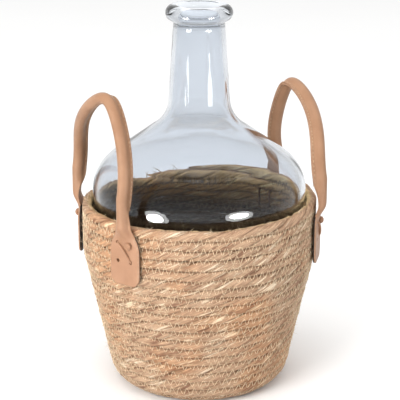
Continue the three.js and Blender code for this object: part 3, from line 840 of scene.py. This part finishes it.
def rope_strand(k, name, start, end, which, section):
    """One of the two strands of the rope, twisted round its middle line."""
    run, lengths = rope_runs(k, start, end, k.strand_step)
    middle, along, across, slant, _ = rope_frames(k, run)
    wander = 4.5 * wavering(lengths, 0.31, 2) + 0.7 * wavering(lengths, 0.06, 3)
    wander += 0.3 * wavering(lengths, 0.023, 5 + which)
    twist = -2 * np.pi * lengths / k.lay + np.pi * which + wander
    out = along * np.cos(twist)[:, None] + across * np.sin(twist)[:, None]
    middle += along * (ROPE_DRIFT_UP * wavering(lengths, 0.045, 41))[:, None]
    middle += across * (ROPE_DRIFT_OUT * wavering(lengths, 0.03, 43))[:, None]
    offset = k.thickness / 2 * STRAND_OFFSET * (1 + 0.15 * wavering(lengths, 0.03, 11 + which))
    radii = 1 + 0.09 * wavering(lengths, 0.035, 21 + which) + 0.06 * wavering(lengths, 0.011, 31 + which)
    radii *= tapered(len(lengths), 0.012 / lengths[-1])
    if end > k.floor_radius:
        left = np.clip((lengths[-1] - lengths) / k.run_out, 0.15, 1) ** 0.6
        radii *= left
        offset *= left
        middle -= along * ((1 - left) * k.thickness * 0.48)[:, None]
    strand = tube(
        name,
        [{"points": middle + out * offset[:, None], "radii": radii, "tilts": twist - slant}],
        section=section,
        merge=False,
    )
    lay_attribute(strand.data, lengths + which * 3.7)
    seat_attribute(k, strand.data, section, offset, radii, twist)
    pressed_square(strand.data, middle, along, across, PRESSED + 0.10 * wavering(lengths, 0.022, 61))
    close_poles(strand.data)
    return strand


class DEMIJOHN_OT_rope(bpy.types.Operator):
    """Coil the twisted rush rope into the floor and the wall of the basket"""

    bl_idname = "demijohn.rope"
    bl_label = "Coiled Rope"

    def execute(self, context):
        k = context.scene.demijohn_basket
        rush = finish("dry rush", rush_material, context.scene.demijohn_finishes)
        section = profile_curve(strand_section(k))
        steps, _ = rope_line(k)
        floor_end = k.floor_radius - k.start
        for part, node_name, start, end in (
            ("floor", "basket_base_coil", 0.0, floor_end),
            ("wall", "basket_wall_coil", floor_end, steps[-1]),
        ):
            for which in (0, 1):
                strand = rope_strand(k, f"{part}_rope_strand_{which + 1}", start, end, which, section)
                strand.data.materials.append(rush)
                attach(strand, "basket")
                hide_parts(node_name)
        bpy.data.objects.remove(section)
        return {"FINISHED"}


def zigzag(k, start, end, side):
    """A thread that crosses the seam between neighbouring turns, on one face of the wall."""
    run, lengths = rope_runs(k, start, end, k.stitch / len(SWINGS))
    beat = np.arange(len(run)) % len(SWINGS)
    swing = np.array(SWINGS)[beat]
    lift = np.array(LIFTS)[beat] * MM
    swing *= 1 + 0.35 * wavering(lengths, 0.009, 51)
    lift += 0.0003 * wavering(lengths, 0.04, 53)
    place = run + k.pitch / 2 + k.reach * swing
    middle, _, across, _, turn = rope_frames(k, place)
    shift = rope_frames(k, run)[4] - turn
    cos, sin = np.cos(shift), np.sin(shift)

    def spin(v):
        return np.column_stack((v[:, 0] * cos - v[:, 1] * sin, v[:, 0] * sin + v[:, 1] * cos, v[:, 2]))

    points = spin(middle) + spin(across) * (side * (k.thickness / 2 - 0.0003 + lift))[:, None]
    points[:, 2] = np.maximum(points[:, 2], k.thread_radius)
    return points


class DEMIJOHN_OT_sewing(bpy.types.Operator):
    """Sew the turns of rope together with a zigzag, outside and inside"""

    bl_idname = "demijohn.sewing"
    bl_label = "Basket Sewing"

    def execute(self, context):
        k = context.scene.demijohn_basket
        f = context.scene.demijohn_finishes
        pale = finish("sewing thread", thread_material, f.thread)
        # The inside runs take the darker copy of the thread as painted shade
        painted_shade_thread = finish("inner thread painted shade", thread_material, f.inner_thread_painted_shade)
        steps, _ = rope_line(k)
        end = steps[-1] - k.pitch * (1 + k.run_out / (2 * math.pi * k.band_radius))
        for name, start, stop, side, thread in (
            ("wall_thread_outside", SEWN_FROM, end, 1, pale),
            ("wall_thread_inside", SEWN_FROM, end, -1, painted_shade_thread),
            ("floor_thread_inside", 0.004, SEWN_FROM, -1, painted_shade_thread),
        ):
            points = zigzag(k, start, stop, side)
            radii = tapered(len(points), len(SWINGS) / len(points))
            sewn = tube(name, [{"points": points, "radii": radii}], radius=k.thread_radius)
            sewn.data.materials.append(thread)
            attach(sewn, "basket")
        return {"FINISHED"}


def rope_spot(k, run):
    """Middle, up-the-wall and outward directions, and heading of the rope at one length of its line."""
    middle, along, across, _, turn = (v[0] for v in rope_frames(k, np.array([run])))
    return middle, along, across, turn, np.array((-math.sin(turn), math.cos(turn), 0.0))


def wall_fibre(k, pick, end):
    """A leaf end that lies along the wall's outside and lifts off it."""
    middle, along, across, _, heading = rope_spot(k, pick.uniform(0.075, end - 0.004))
    ahead = heading * pick.choice((-1, 1))
    face = pick.uniform(-0.7, 0.7)
    root = middle + along * (face * k.thickness * 0.42) + across * (k.thickness * 0.40)
    size = pick.uniform(0.005, 0.018)
    lift = pick.uniform(0.04, 0.36)
    rise = pick.uniform(-0.35, 0.35)
    points = []
    for share in np.linspace(0, 1, 6):
        out = across * (size * lift * share * share + 0.0002)
        points.append(root + ahead * (size * share) + along * (size * rise * share) + out)
    radii = np.linspace(1, 0.02, 6)
    radii[0] = 0.02
    return {"points": points, "radii": radii}


def rim_fibre(k, pick, end, short):
    """A leaf end that stands on the rim, long ones only at the back, or nothing."""
    middle, along, across, turn, heading = rope_spot(k, end - pick.uniform(0.16, 1.0) * k.pitch)
    if not short and math.sin(turn) < 0.2:
        return None
    ahead = heading * pick.uniform(-1.2, 1.2)
    root = middle + along * (k.thickness * 0.40) + across * (k.thickness * pick.uniform(-0.35, 0.3))
    size = pick.uniform(0.002, 0.006) if short else pick.uniform(0.004, 0.011)
    bend = pick.uniform(-0.3, 0.3)
    points = []
    for share in np.linspace(0, 1, 6):
        sideways = ahead * share + across * (bend * share * share)
        points.append(root + along * (size * share * (1 - 0.3 * share)) + sideways * size)
    radii = np.linspace(1.3, 0.05, 6)
    radii[0] = 0.02
    return {"points": points, "radii": radii}


class DEMIJOHN_OT_fibres(bpy.types.Operator):
    """Let loose leaf ends stand off the rope"""

    bl_idname = "demijohn.fibres"
    bl_label = "Loose Fibres"

    def execute(self, context):
        k = context.scene.demijohn_basket
        pick = random.Random(7)
        end = rope_line(k)[0][-1]
        paths = [wall_fibre(k, pick, end) for _ in range(FIBRES)]
        paths += [rim_fibre(k, pick, end, index < RIM_STUBBLE) for index in range(RIM_FIBRES)]
        fibres = tube("loose_fibres", [path for path in paths if path], radius=FIBRE_RADIUS)
        thread = finish("sewing thread", thread_material, context.scene.demijohn_finishes.thread)
        fibres.data.materials.append(thread)
        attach(fibres, "basket")
        return {"FINISHED"}


# Handles

# Sections as halves, from the bottle's side outwards: the roll's sewn edge in millimetres, the turns of its round
# in degrees, and the flat strap by share of its thickness and width, with an inset in millimetres
ROLL_HALF = [
    (-7.3, 0.0), (-8.15, 0.22), (-8.42, 0.72), (-8.3, 1.25), (-7.95, 1.52),
    (-7.3, 1.60), (-6.5, 1.66), (-5.8, 1.86), (-5.2, 2.3),
]
ROLL_TURNS = (147, 135, 122, 108, 94, 80, 66, 52, 39, 26, 13, 0)
FLAT_HALF = [
    (-0.62, 0.0, 0), (-1, 0.12, 0), (-1, 0.26, 0), (-1, 0.40, 0), (-1, 0.54, 0), (-1, 0.68, 0), (-1, 0.82, 0),
    (-1, 1, 1.1), (-0.86, 1, 0.45), (-0.5, 1, 0.08), (0, 1, 0), (0.5, 1, 0.08), (0.86, 1, 0.45), (1, 1, 1.1),
    (1, 0.84, 0), (1, 0.70, 0), (1, 0.56, 0), (1, 0.42, 0), (1, 0.28, 0), (1, 0.14, 0), (1, 0.0, 0),
]


STRAP_DOME = 0.0050  # fullness of the strap's face where it leaves the rim
LEAN_FROM = 0.1631  # height over the laces, from where the strap leans out


def mirrored(half):
    return half + [(x, -y) for x, y in half[-2:0:-1]]


def roll_section(h):
    """Rolled leather with its two sewn edges on the bottle's side."""
    turns = [math.radians(t) for t in ROLL_TURNS]
    round_part = [(h.roll_radius * math.cos(t), h.roll_radius * math.sin(t)) for t in turns]
    return mirrored([(x * MM, y * MM) for x, y in ROLL_HALF] + round_part)


def flat_section(width, thick, dome):
    """A flat strap with rounded edges, a little full in the middle of its face."""
    half = []
    for face, share, inset in FLAT_HALF:
        across = share * width / 2 - inset * MM
        full = dome * (1 - (2 * across / width) ** 2) if face > 0.9 else 0.0
        half.append((face * thick / 2 + full, max(0.0, across)))
    return mirrored(half)


def strap_section(h, height, width, thin=1.0):
    """Section at a height over the bend: flat on the wall, round outside first, then rolled up."""
    outside = smooth_share(height, -0.027, 0.009)
    inside = smooth_share(height, -0.004, 0.021)
    dome = STRAP_DOME * smooth_share(height, h.tab_top + 0.004 - h.hinge_z, 0.009)
    flat = flat_section(width, h.leather * thin, dome)
    section = []
    for (a, b), (c, d) in zip(flat, roll_section(h)):
        share = mix(inside, outside, smooth_share(c, -0.006, 0.001))
        section.append((mix(a, c, share), mix(b, d, share)))
    return section


def tab_ring(h, z, way, thin=1.0):
    """Ring of the tab at a height, in the handle's frame."""
    corner = 1 - min(1.0, (z - h.tab_bottom) / h.tab_corner)
    rounding = h.tab_corner * (1 - math.sqrt(max(0.0, 1 - corner * corner)))
    width = mix(h.tab_width, h.strap_width, smooth_share(z, h.tab_top, h.rim + 0.003)) - 2 * rounding
    lean = h.standoff * smooth_share(z, LEAN_FROM, h.rim)
    turn = way * h.tab_angle
    out = Vector((math.cos(turn), math.sin(turn), 0))
    side = UP.cross(out) * way
    place = out * (h.tab_radius + lean) + UP * z
    return [place + out * x + side * y for x, y in strap_section(h, z - h.hinge_z, width, thin)]


def arch_place(h, side, turn):
    """A point of the loop's line, which follows the basket's round as it rises."""
    rows = {
        "left": (h.left_arch, h.left_sway, h.left_front_narrowing, h.left_back_narrowing),
        "right": (h.right_arch, h.right_sway, h.right_narrowing, h.right_narrowing),
    }
    arch, sway, ahead, behind = rows[side]
    rise, run = math.sin(turn), math.cos(turn)
    narrow = 1 - mix(behind, ahead, (1 + run) / 2) * rise * rise
    y = h.half_loop * run * narrow + sway * rise * rise
    reach = mix(h.grip_reach, math.hypot(h.hinge_x, h.half_loop), (1 - rise) ** 2)
    return Vector((math.sqrt(reach * reach - y * y), y, h.hinge_z + h.leg + arch * rise))


def arch_frame(h, side, turn):
    """Place and directions on the arch: away from the bottle, and across."""
    ahead = arch_place(h, side, turn + 0.002) - arch_place(h, side, turn - 0.002)
    across = ahead.cross(Vector((1, 0, 0))).normalized()
    return arch_place(h, side, turn), across.cross(ahead).normalized(), across


def leg_frame(h, way, height):
    """Place and directions on a leg, turned from the tab's direction to the loop's."""
    place = Vector((h.hinge_x, way * h.half_loop, h.hinge_z + height))
    turn = Matrix.Rotation(way * h.tab_angle * (1 - smooth_share(height, 0.0, h.leg)), 3, UP)
    return place, turn @ Vector((1, 0, 0)), turn @ Vector((0, way, 0))


def leg_ring(h, way, height):
    """Ring of a leg, between the flat strap and the round roll."""
    place, out, side = leg_frame(h, way, height)
    return [place + out * x + side * y for x, y in strap_section(h, height, h.strap_width)]


# Rings of a strap: heights over the tab's end and over the bend, in millimetres
TAB_STEPS = (
    0.0, 0.35, 0.9, 1.8, 3.0, 4.6, 6.6, 9.0, 12, 16, 20, 24,
    28, 32, 35.5, 38, 40.5, 43, 45.5, 48, 50.5, 52.5, 54.2, 56,
)
TAB_THIN = (0.45, 0.78, 0.95)  # of the leather's thickness at the tab's first rings
LEG_STEPS = (0.6, 2.5, 4.5, 6.5, 8.5, 10.5, 12.5, 14.5, 16.5, 18.5, 20)
ARCH_STEPS = 44
LINED_STEPS = 18  # rings of a tab that have a lining
LINING_AND_EDGE_SHADE, CUT_EDGE = 1, 2  # places in the strap's row of finishes


def strap_rings(h, side):
    """Rings of the whole strap, from one tab's end over the loop to the other tab's end."""
    legs = []
    for way in (1, -1):
        rings = []
        for index, step in enumerate(TAB_STEPS):
            thin = TAB_THIN[index] if index < len(TAB_THIN) else 1.0
            rings.append(tab_ring(h, h.tab_bottom + step * MM, way, thin))
        rings += [leg_ring(h, way, step * MM) for step in LEG_STEPS]
        legs.append(rings)
    section = roll_section(h)
    arch = []
    for step in range(ARCH_STEPS + 1):
        place, out, across = arch_frame(h, side, math.pi * step / ARCH_STEPS)
        arch.append([place + out * x + across * y for x, y in section])
    return legs[0] + arch + legs[1][::-1]


def strap_mesh(rings, turn):
    """Bridges the rings into one closed strap, and sorts its faces by finish."""
    bm = bmesh.new()
    count = len(rings[0])
    spin = Matrix.Rotation(turn, 3, "Z")
    loops = []
    for ring in rings:
        made = bmesh.ops.create_circle(bm, segments=count, radius=0.001)["verts"]
        for vert, place in zip(made, ring):
            vert.co = spin @ place
        edges = {edge for vert in made for edge in vert.link_edges}
        loops.append((made, list(edges)))
    for (_, near), (_, far) in zip(loops, loops[1:]):
        bmesh.ops.bridge_loops(bm, edges=near + far)
    for made, _ in (loops[0], loops[-1]):
        bmesh.ops.contextual_create(bm, geom=made)
    rows = {vert: row for row, (made, _) in enumerate(loops) for vert in made}
    spots = {vert: spot for made, _ in loops for spot, vert in enumerate(made)}
    for face in bm.faces:
        ends = [min(spots[v], count - spots[v]) for v in face.verts]
        row = min(rows[v] for v in face.verts)
        tab = min(row, len(rings) - 2 - row) < LINED_STEPS
        # Lining on the back of a tab; its inner edges take the same dark as painted shade
        if tab and max(ends) <= 10:
            face.material_index = LINING_AND_EDGE_SHADE
        elif max(ends) <= 4 and not tab or tab and max(ends) <= 13 and min(ends) >= 10:
            face.material_index = CUT_EDGE
    bmesh.ops.recalc_face_normals(bm, faces=bm.faces)
    return bm


def seat_matrix(h, side, way):
    """From a tab's own frame, X out through the wall and Z up, to the model's."""
    return Matrix.Rotation(TURNS[side] + way * h.tab_angle, 4, "Z")


def hole_places(h):
    span, rise = h.lace_span / 2, h.lace_rise / 2
    return [(y, h.lace_height + z) for y in (-span, span) for z in (-rise, rise)]


def pierce(h, strap, side):
    """Cuts the lace holes through both tabs of a strap."""
    bm = bmesh.new()
    for _, way in ENDS[side]:
        for y, z in hole_places(h):
            lie = Matrix.Translation((h.tab_radius, y, z)) @ Matrix.Rotation(math.pi / 2, 4, "Y")
            place = seat_matrix(h, side, way) @ lie
            size = {"radius1": h.hole_radius, "radius2": h.hole_radius, "depth": 0.012}
            bmesh.ops.create_cone(bm, cap_ends=True, segments=14, matrix=place, **size)
    pegs = object_from(bm, "pegs")
    cut = strap.modifiers.new("holes", "BOOLEAN")
    cut.operation = "DIFFERENCE"
    cut.solver = "EXACT"
    cut.object = pegs
    mesh = baked_mesh(strap)
    strap.modifiers.clear()
    old, strap.data = strap.data, mesh
    bpy.data.meshes.remove(old)
    bpy.data.objects.remove(pegs)


class DEMIJOHN_OT_handles(bpy.types.Operator):
    """Fold and roll the leather straps, with their tabs on the basket's wall"""

    bl_idname = "demijohn.handles"
    bl_label = "Leather Handles"

    def execute(self, context):
        h = context.scene.demijohn_handles
        f = context.scene.demijohn_finishes
        hides = (
            finish("tan leather", hide_material, f.tan, f.tan_shade, handled=tuple(f.handled)),
            finish("tab lining and edge shade", hide_material, f.lining, f.lining, grain=900.0),
            finish("cut edge", hide_material, f.raw_edge, f.tan_shade, grain=2600.0, cloud=240.0),
        )
        for side in ENDS:
            bm = strap_mesh(strap_rings(h, side), TURNS[side])
            strap = object_from(bm, f"{side}_handle_strap", *hides)
            pierce(h, strap, side)
            strap.data.set_sharp_from_angle(angle=math.radians(50))
            # Share of painted shade on the strap, rising from under the rim to over it
            grip_shade_shares = [smooth_share(v.co.z, h.rim - 0.012, h.rim + 0.014) for v in strap.data.vertices]
            strap.data.attributes.new("handled", "FLOAT", "POINT").data.foreach_set("value", grip_shade_shares)
            tabs = [f"{side}_{end}_tab" for end, _ in ENDS[side]]
            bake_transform(strap)
            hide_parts(f"{side}_handle_grip", *tabs)
        return {"FINISHED"}


CORE_STEPS = 60
SEAM_STEPS = 240
SEAM_REACH = 0.0069  # from the roll's middle to its row of stitches
STITCH_LINE = ((0.06, 0.00135), (0.16, 0.00178), (0.36, 0.00188), (0.56, 0.00178), (0.66, 0.00135))


class DEMIJOHN_OT_cores(bpy.types.Operator):
    """Lay the twisted cord inside each rolled handle"""

    bl_idname = "demijohn.cores"
    bl_label = "Handle Cores"

    def execute(self, context):
        h = context.scene.demijohn_handles
        f = context.scene.demijohn_finishes
        cord = finish("core cord", thread_material, f.cord)
        for side in ENDS:
            frames = [leg_frame(h, 1, h.roll_height + 0.003)]
            frames += [arch_frame(h, side, math.pi * step / CORE_STEPS) for step in range(CORE_STEPS + 1)]
            frames.append(leg_frame(h, -1, h.roll_height + 0.003))
            paths = []
            spin = Matrix.Rotation(TURNS[side], 3, "Z")
            for strand in range(3):
                points = []
                for index, (place, out, across) in enumerate(frames):
                    turn = index * 0.55 + strand * 2 * math.pi / 3
                    round_way = out * math.cos(turn) + across * math.sin(turn)
                    points.append(spin @ (place + round_way * 0.0013))
                paths.append({"points": points, "radii": tapered(len(points), 0.02)})
            core = tube(f"{side}_handle_cord", paths, radius=0.0015, sides=8)
            core.data.materials.append(cord)
            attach(core, f"{side}_handle")
            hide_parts(f"{side}_handle_core")
        return {"FINISHED"}


def stitch_points(rows, run, start, size, way):
    """One stitch on one side of a seam: shares of its length, and how far it stands off the seam's middle."""
    last = len(rows) - 1
    points = []
    for share, stand in STITCH_LINE:
        at = start + share * size
        index = int(np.searchsorted(run, at))
        before, after = max(0, index - 1), min(index, last)
        place, out, across = rows[after]
        blend = (at - run[before]) / max(1e-9, run[after] - run[before])
        points.append(rows[before][0].lerp(place, blend) - out * SEAM_REACH + across * (way * stand))
    return points


class DEMIJOHN_OT_seams(bpy.types.Operator):
    """Stitch the edges of the rolled handles together"""

    bl_idname = "demijohn.seams"
    bl_label = "Handle Seams"

    def execute(self, context):
        h = context.scene.demijohn_handles
        f = context.scene.demijohn_finishes
        thread = finish("seam thread", thread_material, f.seam)
        for side in ENDS:
            spin = Matrix.Rotation(TURNS[side], 3, "Z")
            rows = [leg_frame(h, 1, 0.0105 + 0.001 * s) for s in range(11)]
            rows += [arch_frame(h, side, math.pi * s / SEAM_STEPS) for s in range(SEAM_STEPS + 1)]
            rows += [leg_frame(h, -1, 0.0205 - 0.001 * s) for s in range(11)]
            places = np.array([tuple(place) for place, _, _ in rows])
            run = np.concatenate(([0], np.cumsum(np.linalg.norm(np.diff(places, axis=0), axis=1))))
            paths = []
            for start in np.arange(0.0, run[-1] - h.stitch, h.stitch):
                for way in (-1, 1):
                    points = [spin @ p for p in stitch_points(rows, run, start, h.stitch, way)]
                    paths.append({"points": points, "radii": (0.3, 1, 1, 1, 0.3)})
            seam = tube(f"{side}_handle_seam", paths, radius=0.00034)
            seam.data.materials.append(thread)
            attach(seam, f"{side}_handle")
        return {"FINISHED"}


# Laces

KNOT_STEPS = 48
KNOT_TURNS = 2.6
KNOT_SHARE = 0.80  # of the way from the middle of the four holes to one of them


def knot_points(h):
    """A tied knob: the lace wound up over itself to a round button on the tab."""
    points = []
    for step in range(KNOT_STEPS + 1):
        share = step / KNOT_STEPS
        polar = math.radians(mix(104, 6, share))
        turn = 2 * math.pi * KNOT_TURNS * share
        ring = math.sin(polar)
        points.append(Vector((math.cos(polar) * 0.75, ring * math.cos(turn), ring * math.sin(turn))) * h.knot)
    return points


def through(y, z, front, back):
    """Points of a lace that goes in through a hole, from the tab's face to inside the wall."""
    return [Vector((mix(front, back, share), y, z)) for share in (0.0, 0.35, 0.7, 1.0)]


class DEMIJOHN_OT_laces(bpy.types.Operator):
    """Lace each tab to the wall and knot the lace"""

    bl_idname = "demijohn.laces"
    bl_label = "Laces"

    def execute(self, context):
        h = context.scene.demijohn_handles
        f = context.scene.demijohn_finishes
        # Painted shade on the lace's runs inside the basket's wall, from the inner face's shade colour
        inside = tuple(2.6 * c for c in f.inside)
        hide = finish("lace leather", hide_material, f.tan, f.tan_shade, grain=2600.0, inside=inside)
        face = h.tab_radius + h.leather / 2
        for side in ENDS:
            for end, way in ENDS[side]:
                seat = seat_matrix(h, side, way)
                span, rise = h.lace_span / 2, h.lace_rise / 2
                low, high = h.lace_height - rise, h.lace_height + rise
                front = face - 0.0004
                back = h.lace_inside
                route = through(span, high, front, back)
                route += through(span, low, front, back)[::-1]
                for share in (0.1, 0.25, 0.4, 0.5, 0.6, 0.75, 0.9):
                    lift = face + 0.0005 + 0.0009 * math.sin(math.pi * share)
                    sag = 0.0012 * math.sin(math.pi * share)
                    route.append(Vector((lift, mix(span, -span, share) + sag, mix(low, high, share) + sag)))
                route += through(-span, high, front, back)
                route += through(-span, low, front, back)[::-1]
                middle = Vector((face + 0.0012, span * KNOT_SHARE, h.lace_height + rise * KNOT_SHARE))
                knot = [middle + p for p in knot_points(h)]
                lace = tube(
                    f"{side}_{end}_lacing",
                    [
                        {"points": [seat @ p for p in route], "radii": tapered(len(route), 0.03)},
                        {"points": [seat @ p for p in knot], "radii": tapered(len(knot), 0.05) * 1.1},
                    ],
                    radius=h.lace_radius,
                    sides=10,
                )
                lace.data.materials.append(hide)
                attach(lace, "basket")
                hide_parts(f"{side}_{end}_lace")
        return {"FINISHED"}


# Stage

CAMERA_AZIMUTH = -21.0
CAMERA_DISTANCE = 1.3455
CAMERA_HEIGHT = 0.5899
CAMERA_TILT = 17.25  # degrees, downwards
CAMERA_LENS = 136.0
# Name, degrees from the camera, height, distance, size, power, and whether it is only mirrored in the glass
LAMPS = (
    ("left_window", -46.5, -0.42, 1.9, (0.62, 0.70), 90, True),
    ("left_glow", -46.5, -0.42, 1.92, (1.00, 1.20), 26, True),
    ("right_window", 41.5, -0.22, 1.9, (0.70, 0.40), 56, True),
    ("right_glow", 41.5, -0.24, 1.92, (1.05, 0.80), 18, True),
    ("key_light", -38, 1.0, 2.0, (1.1, 1.1), 34, False),
    ("top_light", 0, 2.2, 0.5, (1.2, 1.2), 15, False),
)


def studio_world():
    """White surroundings under a dim ceiling; mirrors see a backdrop behind and a dark room in front."""
    world = bpy.data.worlds.new("studio")
    world.use_nodes = True
    tree = world.node_tree
    back = tree.nodes["Background"]
    back.inputs["Color"].default_value = (1, 1, 1, 1)
    back.location = (200, 0)
    rays = node(tree, "ShaderNodeLightPath", (-1000, 0)).outputs
    way = node(tree, "ShaderNodeTexCoord", (-1200, -300)).outputs["Generated"]
    level = axes(tree, (-1000, -300), way)["Z"]
    ceiling = ranged(tree, (-800, -300), level, (0.10, 0.60), (0, 0.65))
    above = maths(tree, (-600, -240), "MULTIPLY", rays["Is Transmission Ray"], ceiling)
    turn = math.radians(CAMERA_AZIMUTH)
    behind = node(tree, "ShaderNodeVectorMath", (-1000, -520), operation="DOT_PRODUCT")
    behind.inputs[1].default_value = (-math.sin(turn), math.cos(turn), 0)
    give(tree, behind.inputs[0], way)
    room = ranged(tree, (-800, -520), behind.outputs["Value"], (0.75, 0.05))
    reflected = maths(tree, (-800, -60), "MULTIPLY", rays["Is Glossy Ray"], rays["Is Reflection Ray"])
    mirror = maths(tree, (-600, -60), "MULTIPLY", reflected, room)
    dimmed = maths(tree, (-400, -120), "MAXIMUM", mirror, above)
    strength = ranged(tree, (-200, -120), dimmed, new=(0.92, 0.06))
    give(tree, back.inputs["Strength"], maths(tree, (0, 0), "MAXIMUM", rays["Is Camera Ray"], strength))
    bpy.context.scene.world = world


def softbox(name, azimuth, height, distance, size, power, mirrored):
    """A soft light turned to the object: a rectangle that lights it, or an ellipse that is only mirrored in it."""
    data = bpy.data.lights.new(name, "AREA")
    data.shape = "ELLIPSE" if mirrored else "RECTANGLE"
    data.size, data.size_y = size
    data.energy = power
    lamp = new_object(name, data)
    turn = math.radians(CAMERA_AZIMUTH + azimuth)
    lamp.location = (math.sin(turn) * distance, -math.cos(turn) * distance, height)
    way = lamp.location - Vector((0, 0, 0.18))
    lamp.rotation_euler = way.to_track_quat("Z", "Y").to_euler()
    lamp.visible_diffuse = not mirrored
    lamp.visible_glossy = mirrored
    lamp.visible_transmission = False


class DEMIJOHN_OT_stage(bpy.types.Operator):
    """Set the pale floor, the soft lights and the camera"""

    bl_idname = "demijohn.stage"
    bl_label = "Studio"

    def execute(self, context):
        f = context.scene.demijohn_finishes
        bm = bmesh.new()
        bmesh.ops.create_circle(bm, cap_ends=True, segments=96, radius=6.0)
        floor = object_from(bm, "studio_floor", finish("studio floor", floor_material, f.floor))
        floor.visible_glossy = False
        studio_world()
        for lamp in LAMPS:
            softbox(*lamp)
        data = bpy.data.cameras.new("photo_view")
        data.lens = CAMERA_LENS
        data.sensor_width = 36.0
        data.shift_x = 0.002
        data.clip_end = 50
        camera = new_object("photo_view", data)
        turn = math.radians(CAMERA_AZIMUTH)
        camera.location = (CAMERA_DISTANCE * math.sin(turn), -CAMERA_DISTANCE * math.cos(turn), CAMERA_HEIGHT)
        camera.rotation_euler = (math.radians(90 - CAMERA_TILT), 0, turn)
        context.scene.camera = camera
        context.scene.view_settings.view_transform = "Standard"
        return {"FINISHED"}


class DEMIJOHN_PT_pieces(bpy.types.Panel):
    """Lists the pieces of the demijohn"""

    bl_idname = "DEMIJOHN_PT_pieces"
    bl_label = "Demijohn"
    bl_space_type = "VIEW_3D"
    bl_region_type = "UI"
    bl_category = "Demijohn"

    def draw(self, context):
        for maker in MAKERS:
            self.layout.operator(maker.bl_idname)


GROUPS = (
    ("demijohn_bottle", BottleSizes),
    ("demijohn_basket", BasketSizes),
    ("demijohn_handles", HandleSizes),
    ("demijohn_finishes", Finishes),
)
MAKERS = (
    DEMIJOHN_OT_stage,
    DEMIJOHN_OT_bottle,
    DEMIJOHN_OT_rope,
    DEMIJOHN_OT_sewing,
    DEMIJOHN_OT_fibres,
    DEMIJOHN_OT_handles,
    DEMIJOHN_OT_cores,
    DEMIJOHN_OT_seams,
    DEMIJOHN_OT_laces,
)
CLASSES = (*(group for _, group in GROUPS), *MAKERS, DEMIJOHN_PT_pieces)


def register():
    for cls in CLASSES:
        bpy.utils.register_class(cls)
    for name, group in GROUPS:
        setattr(bpy.types.Scene, name, PointerProperty(type=group))


def unregister():
    for name, _ in GROUPS:
        delattr(bpy.types.Scene, name)
    for cls in reversed(CLASSES):
        bpy.utils.unregister_class(cls)


def main():
    register()
    bpy.ops.demijohn.stage()
    bpy.ops.demijohn.bottle()
    bpy.ops.demijohn.rope()
    bpy.ops.demijohn.sewing()
    bpy.ops.demijohn.fibres()
    bpy.ops.demijohn.handles()
    bpy.ops.demijohn.cores()
    bpy.ops.demijohn.seams()
    bpy.ops.demijohn.laces()


if __name__ == "__main__":
    main()
